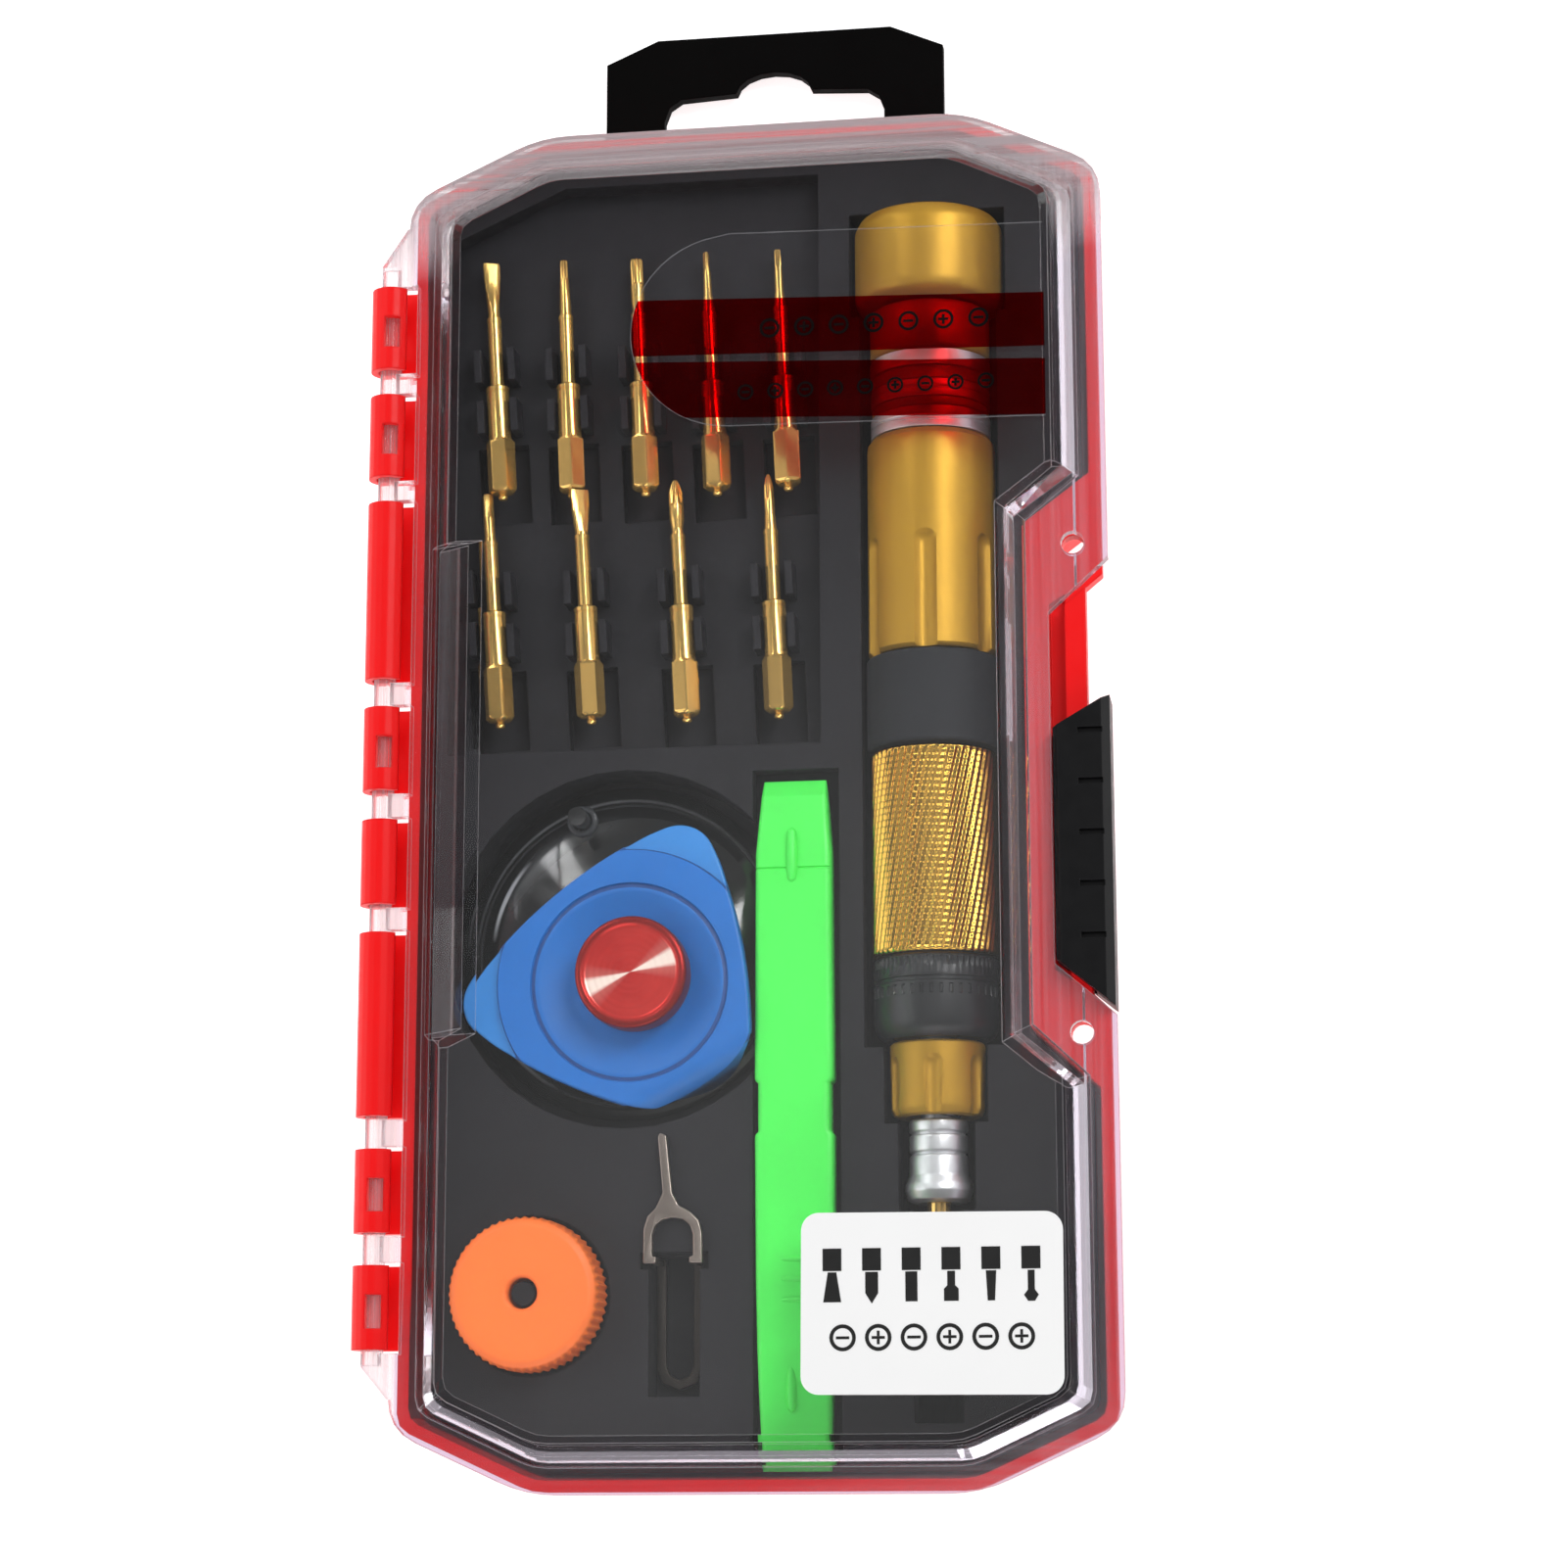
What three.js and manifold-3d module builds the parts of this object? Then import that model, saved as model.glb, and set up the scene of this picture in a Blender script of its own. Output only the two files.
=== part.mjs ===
// Pocket screwdriver and repair kit in a hinged eight-sided case.
// Millimetres, +Z up. The case lies on its back: X is its width (hinge at -X, catch at +X),
// Y is its length (hang tab at +Y), and z = 0 is the underside of the base.
import * as THREE from 'three';
import { mergeVertices } from 'three/addons/utils/BufferGeometryUtils.js';
import Module from 'manifold-3d';

const wasm = await Module();
wasm.setup();

// ---------------------------------------------------------------- driving dimensions
const ZI = 21.0;            // parting plane between base and lid
const RIM = { a: 43.7, b: 84.5, cx: 16.9, cy: 7.7 };       // lid rim: half width, half length, corner chamfer
const PLATE = { a: 37.35, b: 78.6, cx: 12.1, cy: 5.65 };   // raised flat of the lid
const LID_TOP = ZI + 5.4;   // outer face of the raised flat
const LID_WALL = 1.5;
const RIM_T = 1.75;         // thickness of the lid rim
const PART_GAP = 0.15;      // lid rim above the base rim
const BASE_RIM = { a: 42.9, b: 84.15, cx: 16.5, cy: 7.6 };  // outside of the base under the lid rim
const BASE_WALL = 1.4;
const BASE_FLOOR = 1.8;
const FIT = 0.3;            // clearance between neighbours
const DECK = ZI - 3.5;      // top face of the insert tray
const PANEL = ZI - 6.5;     // recessed floor under the bits
const TRAY_WALL = 1.2;

const HINGE = { x: -46.0, z: ZI + 0.9, rod: 1.35, bore: 1.6, outer: 2.5 };
const CLIPS = [             // y from, y to, has a window
  [54.5, 65.2, true], [40.5, 51.1, true], [14.6, 37.2, false], [0.6, 11.0, true],
  [-13.6, -3.1, false], [-39.5, -17.1, false], [-53.5, -43.5, true], [-67.4, -57.4, true],
];

const LATCH = { x0: 36.7, x1: 43.55, z0: 16.6, z1: 24.0, travel: 13.0 };
const TAB = { half: 22.4, z0: 1.3, z1: 2.9, tip: 105.2, travel: 20.0 };

const DRV = { x: 21.6, z: 15.0 };   // axis of the driver, along Y
const BIT_Z = ZI - 4.55;            // axis height of the bits in the tray
const CUP = { x: -17.0, y: -18.5, z: 10.3, r: 20.8 };
const KNOB = { x: -14.5, y: -22.8, r: 6.85 };
const PICK = { x: -15.3, y: -23.5, z: 17.9, t: 2.3 };
const MAG = { x: -27.5, y: -60.9, r: 9.2, z0: 16.0, z1: 23.0, hole: 1.85 };
const PIN_X = -10.07;

// ---------------------------------------------------------------- solids
const V2 = (x, y) => new THREE.Vector2(x, y);

// Turns a closed three.js geometry into a solid, faces out.
function solid(geometry, matrix) {
  let g = geometry.index ? geometry.toNonIndexed() : geometry.clone();
  if (matrix) g.applyMatrix4(matrix);
  for (const name of Object.keys(g.attributes)) if (name !== 'position') g.deleteAttribute(name);
  g = mergeVertices(g, 1e-4);
  const p = g.attributes.position.array;
  const src = g.index.array;
  const tri = [];
  let volume = 0;
  for (let i = 0; i < src.length; i += 3) {
    const [a, b, c] = [src[i], src[i + 1], src[i + 2]];
    if (a === b || b === c || a === c) continue;
    tri.push(a, b, c);
    const [ax, ay, az] = [p[3 * a], p[3 * a + 1], p[3 * a + 2]];
    const [bx, by, bz] = [p[3 * b], p[3 * b + 1], p[3 * b + 2]];
    const [cx, cy, cz] = [p[3 * c], p[3 * c + 1], p[3 * c + 2]];
    volume += ax * (by * cz - bz * cy) - ay * (bx * cz - bz * cx) + az * (bx * cy - by * cx);
  }
  if (volume < 0) for (let i = 0; i < tri.length; i += 3) [tri[i + 1], tri[i + 2]] = [tri[i + 2], tri[i + 1]];
  return new wasm.Manifold(new wasm.Mesh({
    numProp: 3,
    vertProperties: new Float32Array(p),
    triVerts: new Uint32Array(tri),
  }));
}

function toGeometry(manifold) {
  const mesh = manifold.getMesh();
  const g = new THREE.BufferGeometry();
  const n = mesh.numProp;
  const out = new Float32Array(mesh.vertProperties.length / n * 3);
  for (let i = 0; i < out.length / 3; i++) {
    out[3 * i] = mesh.vertProperties[n * i];
    out[3 * i + 1] = mesh.vertProperties[n * i + 1];
    out[3 * i + 2] = mesh.vertProperties[n * i + 2];
  }
  g.setAttribute('position', new THREE.BufferAttribute(out, 3));
  g.setIndex(new THREE.BufferAttribute(new Uint32Array(mesh.triVerts), 1));
  g.computeVertexNormals();
  return g;
}

const M = {
  move: (x, y, z) => new THREE.Matrix4().makeTranslation(x, y, z),
  rotX: (a) => new THREE.Matrix4().makeRotationX(a),
  rotY: (a) => new THREE.Matrix4().makeRotationY(a),
  rotZ: (a) => new THREE.Matrix4().makeRotationZ(a),
};
const mul = (...ms) => ms.reduce((a, b) => a.multiply(b), new THREE.Matrix4());

function box(x0, x1, y0, y1, z0, z1) {
  return solid(new THREE.BoxGeometry(x1 - x0, y1 - y0, z1 - z0),
    M.move((x0 + x1) / 2, (y0 + y1) / 2, (z0 + z1) / 2));
}

// Straight prism over a plan outline.
function prism(points, z0, z1) {
  const shape = new THREE.Shape(points.map(([x, y]) => V2(x, y)));
  return solid(new THREE.ExtrudeGeometry(shape, { depth: z1 - z0, bevelEnabled: false }), M.move(0, 0, z0));
}

// Prism whose outline changes from one convex plan to another with the same number of points.
function frustum(pointsA, z0, pointsB, z1) {
  const shape = new THREE.Shape(pointsA.map(([x, y]) => V2(x, y)));
  const g = new THREE.ExtrudeGeometry(shape, { depth: 1, bevelEnabled: false });
  const key = (x, y) => `${Math.round(x * 1000)},${Math.round(y * 1000)}`;
  const at = new Map(pointsA.map(([x, y], i) => [key(x, y), i]));
  const p = g.attributes.position;
  for (let i = 0; i < p.count; i++) {
    if (p.getZ(i) > 0.5) {
      const j = at.get(key(p.getX(i), p.getY(i)));
      p.setXYZ(i, pointsB[j][0], pointsB[j][1], z1);
    } else p.setZ(i, z0);
  }
  return solid(g);
}

// Cylinder along Y.
function rodY(x, z, r, y0, y1, n = 24) {
  return solid(new THREE.CylinderGeometry(r, r, y1 - y0, n), M.move(x, (y0 + y1) / 2, z));
}
// Cylinder along Z.
function rodZ(x, y, r, z0, z1, n = 24) {
  return solid(new THREE.CylinderGeometry(r, r, z1 - z0, n),
    mul(M.move(x, y, (z0 + z1) / 2), M.rotX(Math.PI / 2)));
}
// Turned solid about the local Y axis, from a closed profile of (radius, y).
function turned(profile, n = 24) {
  const pts = profile.map(([r, y]) => V2(Math.max(r, 0), y));
  pts.push(pts[0].clone());
  return solid(new THREE.LatheGeometry(pts, n));
}

// Eight-sided plan with its corners rounded, moved inwards by d.
function octagon({ a, b, cx, cy }, d = 0, r = 4, steps = 2) {
  const len = Math.hypot(cx, cy);
  const nx = cy / len, ny = cx / len;
  const c = nx * (a - cx) + ny * b - d;
  const A = a - d, B = b - d;
  const px = (c - ny * B) / nx, py = (c - nx * A) / ny;
  const v = [[A, -py], [A, py], [px, B], [-px, B], [-A, py], [-A, -py], [-px, -B], [px, -B]];
  const out = [];
  const rr = Math.max(r - d * 0.4, 0.8);
  for (let i = 0; i < 8; i++) {
    const p = v[(i + 7) % 8], q = v[i], s = v[(i + 1) % 8];
    const t = rr * 0.42;
    const l1 = Math.hypot(p[0] - q[0], p[1] - q[1]), l2 = Math.hypot(s[0] - q[0], s[1] - q[1]);
    const e = [q[0] + (p[0] - q[0]) / l1 * t, q[1] + (p[1] - q[1]) / l1 * t];
    const f = [q[0] + (s[0] - q[0]) / l2 * t, q[1] + (s[1] - q[1]) / l2 * t];
    for (let k = 0; k <= steps; k++) {
      const u = k / steps, w = 1 - u;
      out.push([w * w * e[0] + 2 * w * u * q[0] + u * u * f[0], w * w * e[1] + 2 * w * u * q[1] + u * u * f[1]]);
    }
  }
  return out;
}

function roundRect(x0, x1, y0, y1, r, n = 5) {
  const out = [];
  for (const [cx, cy, a0] of [[x1 - r, y1 - r, 0], [x0 + r, y1 - r, 90], [x0 + r, y0 + r, 180], [x1 - r, y0 + r, 270]]) {
    for (let k = 0; k <= n; k++) {
      const a = (a0 + 90 * k / n) * Math.PI / 180;
      out.push([cx + r * Math.cos(a), cy + r * Math.sin(a)]);
    }
  }
  return out;
}

const union = (list) => list.reduce((a, b) => a.add(b));

// ---------------------------------------------------------------- scene helpers
const root = new THREE.Group();
function put(parent, name, manifold, color, roughness, metalness, extra = {}) {
  const material = new THREE.MeshStandardMaterial({ color, roughness, metalness, ...extra });
  const mesh = new THREE.Mesh(toGeometry(manifold), material);
  mesh.name = name;
  parent.add(mesh);
  return mesh;
}

// ================================================================ base shell
const BAY_TOP = 31.4, BAY_LOW = -29.9;     // ends of the catch bay along Y
// Plan of the catch bay: everything outside the inner wall line at x.
const bay = (x, grow = 0) => [
  [x, BAY_TOP + grow], [x, BAY_LOW - grow], [x + 8.6, BAY_LOW - 8.0 - grow], [60, BAY_LOW - 8.0 - grow],
  [60, BAY_TOP + 6.4 + grow], [x + 8.6, BAY_TOP + 6.4 + grow],
];

function makeBase() {
  const DRAFT = 1.3;
  // walls with draft
  let shell = frustum(octagon(BASE_RIM, 0.3 + DRAFT), 0, octagon(BASE_RIM, 0.3), ZI);
  // thickened edge under the lid rim
  shell = shell.add(prism(octagon(BASE_RIM, 0), ZI - 2.3, ZI));
  // catch bay: the outer wall steps in
  shell = shell.subtract(prism(bay(33.2 + BASE_WALL), -1, ZI - 2.1));
  let cavity = frustum(octagon(BASE_RIM, BASE_WALL + DRAFT - 0.15), BASE_FLOOR, octagon(BASE_RIM, BASE_WALL), ZI + 0.01);
  cavity = cavity.subtract(prism(bay(33.2), -1, ZI + 1));
  shell = shell.subtract(cavity);
  // catch rail: notch in the rim, groove and ridge
  shell = shell.subtract(prism([[40.85, 23.2], [60, 39.0], [60, -44.5], [40.85, -26.4]], ZI - 5, ZI + 1));
  shell = shell.add(prism([[38.3, 21.0], [40.85, 23.2], [40.85, -26.4], [38.3, -24.2]], ZI - 0.5, ZI + 0.9));
  shell = shell.subtract(prism([[36.4, 21.2], [38.3, 22.4], [38.3, -24.9], [36.4, -23.4]], ZI - 1.1, ZI + 1));
  // tie holes
  shell = shell.subtract(rodZ(39.45, 28.5, 1.4, ZI - 4, ZI + 1, 16));
  shell = shell.subtract(rodZ(39.5, -31.2, 1.4, ZI - 4, ZI + 1, 16));
  // hang tab channel in the back
  const raised = box(-25.8, 25.8, 40.2, 82.4, BASE_FLOOR - 0.2, 4.4);
  shell = shell.add(raised);
  shell = shell.subtract(box(-24.3, 24.3, 41.6, 64.3, TAB.z0 - FIT, TAB.z1 + FIT));
  shell = shell.subtract(box(-22.7, 22.7, 60.0, 90.0, TAB.z0 - FIT, TAB.z1 + FIT));
  shell = shell.subtract(box(-20.8, 20.8, 41.6, 90.0, -1, TAB.z1 + FIT));
  // hinge clips
  const clips = [];
  for (const [y0, y1, window] of CLIPS) {
    let c = rodY(HINGE.x, HINGE.z, HINGE.outer, y0, y1, 20);
    c = c.add(box(HINGE.x - 0.9, -42.0, y0, y1, ZI - 2.3, ZI - 0.1));
    c = c.subtract(rodY(HINGE.x, HINGE.z, HINGE.bore, y0 - 1, y1 + 1, 20));
    c = c.subtract(box(HINGE.x, HINGE.x + 4, y0 - 1, y1 + 1, HINGE.z - 1.0, HINGE.z + 1.1));
    if (window) {
      const m = (y0 + y1) / 2;
      // the window goes right through the clip
      c = c.subtract(box(HINGE.x - 0.35, HINGE.x + 1.5, m - 2.5, m + 1.5, 0, HINGE.z + 4));
    }
    clips.push(c);
  }
  return shell.add(union(clips));
}
put(root, 'base_shell', makeBase(), 0xf01420, 0.32, 0);

// ================================================================ hang tab
{
  const tab = [
    [-TAB.half, 64.0], [-TAB.half, 102.2], [-15.5, TAB.tip], [15.5, TAB.tip], [TAB.half, 102.2], [TAB.half, 64.0],
    [24.0, 64.0], [24.0, 62.0], [-24.0, 62.0], [-24.0, 64.0],
  ];
  const hole = [[-14.6, 89.6], [-14.6, 93.8], [-13.9, 95.7], [-12.4, 96.7], [-5.0, 97.1]];
  for (let k = 1; k < 8; k++) {
    const a = Math.PI - Math.PI * k / 8;
    hole.push([4.9 * Math.cos(a), 97.1 + 2.7 * Math.sin(a)]);
  }
  hole.push([5.0, 97.1], [12.4, 96.7], [13.9, 95.7], [14.6, 93.8], [14.6, 89.6], [13.4, 88.6], [-13.4, 88.6]);
  const plate = prism(tab, 0, TAB.z1 - TAB.z0).subtract(prism(hole, -1, 4));
  const mesh = put(root, 'hanger_tab', plate, 0x161616, 0.5, 0);
  mesh.position.z = TAB.z0;
}

// ================================================================ lid
const lidGroup = new THREE.Group();
root.add(lidGroup);
const BELT = 25.2 - 21 + ZI;      // height of the edge between the two slopes of the lid side
const lidPlan = {
  foot: (d) => octagon({ a: 41.5, b: 82.3, cx: 15.2, cy: 7.0 }, d, 4),
  belt: (d) => octagon({ a: 38.85, b: 80.1, cx: 13.2, cy: 6.2 }, d, 4),
  top: (d) => octagon(PLATE, d, 4),
};
// Finger recesses on both long sides: wedges cut from the raised body.
function recess(side, d) {
  const z0 = ZI + PART_GAP + RIM_T - d * 0.9, z1 = LID_TOP - d;
  const k = (z1 - z0) / 3.5;
  if (side > 0) {
    const lo = [[33.75 - d, 31.5 + d * 0.6], [33.75 - d, -30.1 - d * 0.6], [46, -41.6 - d * 0.6], [46, 41.4 + d * 0.6]];
    const hi = [[31.8 - d, 32.9 + d * 0.6], [31.8 - d, -32.2 - d * 0.6], [46, -42.6 - d * 0.6], [46, 45.2 + d * 0.6]];
    return frustum(lo, z0, hi.map(([x, y], i) => [x + (x - lo[i][0]) * 0.4 / k, y]), z1 + 1.4);
  }
  const lo = [[-41.6 + d, 30.8], [-41.6 + d, -30.0], [-60, -30.0], [-60, 30.8]];
  const hi = [[-34.6 + d, 30.6 + d * 0.5], [-34.6 + d, -29.3 - d * 0.5], [-60, -44.2], [-60, 45.6]];
  return frustum(lo, z0, hi.map(([x, y], i) => [x + (x - lo[i][0]) * 0.4 / k, y]), z1 + 1.4);
}
function makeLid() {
  const z0 = ZI + PART_GAP, z1 = z0 + RIM_T;
  let body = frustum(lidPlan.foot(0), z0, lidPlan.belt(0), BELT).add(frustum(lidPlan.belt(0), BELT, lidPlan.top(0), LID_TOP));
  body = body.subtract(recess(1, 0)).subtract(recess(-1, 0));
  let hollow = frustum(lidPlan.foot(1.3), z0 - 0.5, lidPlan.belt(1.3), BELT - 0.8)
    .add(frustum(lidPlan.belt(1.3), BELT - 0.8, lidPlan.top(0.9), LID_TOP - LID_WALL));
  hollow = hollow.subtract(recess(1, LID_WALL)).subtract(recess(-1, LID_WALL));
  // rim plate
  let rim = prism(octagon(RIM, 0, 9, 4), z0, z1);
  for (const [y0, y1] of CLIPS) rim = rim.subtract(box(-60, -42.5, y0 - 0.5, y1 + 0.5, 0, 60));
  rim = rim.subtract(prism([[36.4, 19.9], [60, 41.5], [60, -43.2], [36.4, -22.9]], 0, 60));
  let lid = body.add(rim).subtract(hollow);
  // room for the catch and its rail
  lid = lid.subtract(prism([[36.4, 19.9], [60, 41.5], [60, -43.2], [36.4, -22.9]], 0, z1 + 0.02));
  // tie holes
  lid = lid.subtract(rodZ(39.45, 28.5, 1.4, 0, z1 + 0.05, 16)).subtract(rodZ(39.5, -31.2, 1.4, 0, z1 + 0.05, 16));
  // hinge rod and the webs between the clips
  const ys = [73.2];
  for (const [y0, y1] of CLIPS) ys.push(y1 + 0.4, y0 - 0.4);
  ys.push(-73.2);
  for (let i = 0; i < ys.length; i += 2) {
    const top = ys[i], low = ys[i + 1];
    if (i === 0) lid = lid.add(prism([[-42.8, 73.2], [-43.9, 73.2], [-47.1, 68.4], [-47.1, low], [-42.8, low]], z0, z1));
    else if (i === ys.length - 2) lid = lid.add(prism([[-42.8, top], [-47.1, top], [-47.1, -69.4], [-43.9, -73.2], [-42.8, -73.2]], z0, z1));
    else lid = lid.add(box(-47.1, -42.4, low, top, z0, z1));
  }
  lid = lid.add(rodY(HINGE.x, HINGE.z, HINGE.rod, -69.2, 68.2, 16));
  return lid;
}
put(lidGroup, 'lid_shell', makeLid(), 0xeef2f4, 0.08, 0, { transparent: true, opacity: 0.3 });

{
  const label = prism(roundRect(-15.3, 15.3, -10.5, 10.5, 2.1, 4), 0, 0.2);
  const mesh = put(lidGroup, 'lid_label', label, 0xf6f6f4, 0.5, 0);
  mesh.position.set(21.75, -62.85, LID_TOP + 0.05);
  mesh.rotation.z = -0.4 * Math.PI / 180;
  const film = [[36.8, 43.6], [36.8, 68.2], [-2.0, 68.9]];
  for (let k = 1; k < 10; k++) {
    const a = (90 + 180 * k / 10) * Math.PI / 180;
    film.push([-2.0 + 12.4 * Math.cos(a), 56.4 + 12.3 * Math.sin(a)]);
  }
  film.push([-2.0, 44.1]);
  put(lidGroup, 'lid_film', prism(film, LID_TOP + 0.05, LID_TOP + 0.2), 0xa01820, 0.2, 0, { transparent: true, opacity: 0.5 });
}

// ================================================================ catch
{
  const { x0, x1, z0, z1 } = LATCH;
  // C-shaped section in X and Z, run along Y
  const section = [
    [x0, z1 - 0.5], [x0 + 0.6, z1], [x1 - 1.0, z1], [x1, z1 - 1.2], [x1, z0 + 0.6], [x1 - 0.6, z0], [37.3, z0],
    [37.3, ZI - 2.6], [41.25, ZI - 2.6], [41.25, ZI + 1.25], [37.95, ZI + 1.25], [37.95, ZI - 0.75], [x0, ZI - 0.75],
  ];
  const shape = new THREE.Shape(section.map(([x, z]) => V2(x, -z)));
  const g = new THREE.ExtrudeGeometry(shape, { depth: 60, bevelEnabled: false });
  let s = solid(g, mul(M.move(0, -40, 0), M.rotX(-Math.PI / 2)));
  s = s.subtract(prism([[30, 1.55], [50, 13.2], [50, 40], [30, 40]], 0, 60));
  s = s.subtract(prism([[30, -17.0], [30, -60], [50, -60], [50, -33.5]], 0, 60));
  for (let k = 0; k < 5; k++) {
    const y = 5.0 - 6.2 * k;
    s = s.subtract(box(39.7, 42.6, y - 0.35, y + 0.35, z1 - 0.55, z1 + 1));
  }
  put(root, 'latch_slider', s, 0x1b1d20, 0.38, 0);
}

// ================================================================ insert tray
const bits = [   // tip x, tip y, end x, end y, tip kind
  [-34.45, 70.2, -32.45, 38.65, 'star'], [-25.0, 70.0, -23.55, 38.5, 'slot_small'], [-15.6, 69.6, -14.15, 38.3, 'star_large'],
  [-6.6, 70.1, -5.05, 38.0, 'tri'], [2.55, 69.9, 3.9, 38.2, 'square'],
  [-34.5, 39.5, -32.4, 9.2, 'hex'], [-22.45, 39.3, -20.85, 9.3, 'slot', 0.044], [-10.5, 40.3, -8.85, 9.1, 'cross'],
  [1.3, 40.5, 2.65, 9.2, 'cross_small'],
];
const bitAxis = bits.map(([tx, ty, ex, ey, , tilt]) => ({
  x: ex, y: ey, tilt: tilt || 0, length: Math.hypot(tx - ex, ty - ey), turn: Math.atan2(-(tx - ex), ty - ey),
}));

function pockets(g) {          // every recess in the tray, grown by g
  const list = [];
  const top = ZI + 5;
  const pan = [[-39.0 - g, 5.9 - g], [7.9 + g, 5.9 - g], [7.9 + g, 79.3 + g], [-24.6, 79.3 + 3 * g], [-39.0 - g, 72.8 + 3 * g]];
  list.push(prism(pan, PANEL - g, top));
  for (const b of bitAxis) {
    const m = mul(M.move(b.x, b.y, 0), M.rotZ(b.turn));
    const w = 3.2 + g;
    list.push(solid(new THREE.BoxGeometry(2 * w, 10.2 + 2 * g, top - 12.6 + g), mul(m, M.move(0, 2.5, (12.6 - g + top) / 2))));
  }
  list.push(rodZ(-16.2, -18.9, 22.1 + g, 10.0 - g, top, 36));
  list.push(box(-0.5 - g, 10.1 + g, -90, 2.6 + g, 14.7 - g, top));
  list.push(box(PIN_X - 3.1 - g, PIN_X + 3.1 + g, -73.0 - g, -56.2 + g, 12.2 - g, top));
  list.push(box(PIN_X - 4.1 - g, PIN_X + 4.1 + g, -57.9 - g, -55.9 + g, 16.0 - g, top));
  list.push(rodZ(MAG.x, MAG.y, MAG.r + 0.45 + g, MAG.z0 - FIT - g, top, 28));
  const trough = (r, y0, y1) => {
    const R = r + g;
    list.push(rodY(DRV.x, DRV.z, R, y0 - g, y1 + g, 24));
    list.push(box(DRV.x - R, DRV.x + R, y0 - g, y1 + g, DRV.z, top));
  };
  trough(9.75, 60.2, 73.6);
  trough(8.55, -31.8, 61.0);
  trough(6.2, -41.0, -31.0);
  trough(4.6, -51.4, -40.0);
  trough(2.9, -76.3, -51.0);
  return union(list);
}
function makeTray() {
  const low = 2.2;
  const edge = RIM.a - 40.55;
  let outer = frustum(octagon(RIM, edge + 1.35), low, octagon(RIM, edge), DECK);
  outer = outer.subtract(prism(bay(33.2 - FIT, FIT * 0.5), -1, 60));
  let core = frustum(octagon(RIM, edge + 1.35 + TRAY_WALL), low - 1, octagon(RIM, edge + TRAY_WALL), DECK - TRAY_WALL);
  core = core.subtract(prism(bay(33.2 - FIT - TRAY_WALL, TRAY_WALL), -1, 60));
  core = core.subtract(pockets(TRAY_WALL));
  let tray = outer.subtract(core).subtract(pockets(0));
  // clearance over the hang tab channel
  tray = tray.subtract(box(-26.2, 26.2, 39.8, 90, 0, 4.7));
  // clip posts beside each bit
  const posts = [];
  for (const b of bitAxis) {
    const m = mul(M.move(b.x, b.y, 0), M.rotZ(b.turn));
    for (const along of [10.9, 17.6]) {
      for (const side of [-1, 1]) {
        posts.push(solid(new THREE.BoxGeometry(0.95, 4.3, DECK - PANEL + 0.6),
          mul(m, M.move(side * 2.15, along, (PANEL - 0.3 + DECK + 0.3) / 2))));
      }
    }
  }
  // peg for the magnetiser, ribs across the panel between the bit wells
  posts.push(rodZ(MAG.x, MAG.y, 1.45, MAG.z0 - 1, 22.0, 16));
  tray = tray.add(union(posts));
  return tray;
}
put(root, 'insert_tray', makeTray(), 0x3a3b3f, 0.62, 0);

// ================================================================ bits
function bitSolid(length, kind, hexR = 1.72) {
  // local Y runs from the ball end to the tip
  const tipR = { star: 0.95, slot_small: 0.75, star_large: 1.0, tri: 0.7, square: 0.8, hex: 0.8, slot: 1.2, cross: 0.95, cross_small: 0.8 }[kind];
  const L = length;
  const neck = 0.92;
  let s = turned([
    [0, 0], [0.7, 0.5], [0.45, 1.15], [1.35, 1.15], [1.35, 14.4], [neck, 15.2],
    [neck, 23.5], [tipR, L - 4.5], [tipR, L - 0.6], [tipR * 0.7, L], [0, L],
  ], 8);
  const hex = solid(new THREE.CylinderGeometry(hexR, hexR, 7.0, 6), mul(M.move(0, 1.2 + 3.5, 0), M.rotY(Math.PI / 6)));
  s = s.add(hex);
  if (kind === 'slot' || kind === 'slot_small') {
    s = s.subtract(box(-3, 3, L - 3.2, L + 1, 0.3, 3)).subtract(box(-3, 3, L - 3.2, L + 1, -3, -0.3));
  }
  if (kind === 'cross' || kind === 'cross_small' || kind === 'star' || kind === 'star_large') {
    const n = kind.startsWith('cross') ? 4 : 5;
    for (let k = 0; k < n; k++) {
      const a = 2 * Math.PI * (k + 0.5) / n;
      s = s.subtract(solid(new THREE.BoxGeometry(0.5, 3.4, 0.5), mul(M.rotY(a), M.move(tipR * 0.95, L - 0.9, 0))));
    }
  }
  return s;
}
const bitNames = ['bit_star_1', 'bit_slot_1', 'bit_star_2', 'bit_three_wing', 'bit_square', 'bit_hex', 'bit_slot_2', 'bit_cross_1', 'bit_cross_2'];
bitAxis.forEach((b, i) => {
  const mesh = put(root, bitNames[i], bitSolid(b.length, bits[i][4]), 0xb08a3e, 0.3, 0.9);
  mesh.position.set(b.x, b.y, BIT_Z);
  mesh.rotation.set(b.tilt, 0, b.turn);
});

// ================================================================ driver
const driver = new THREE.Group();
driver.position.set(DRV.x, 0, DRV.z);
root.add(driver);
const GOLD = 0xb88a34, SILVER = 0xc9cace, BLACK = 0x3a3c40;

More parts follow.
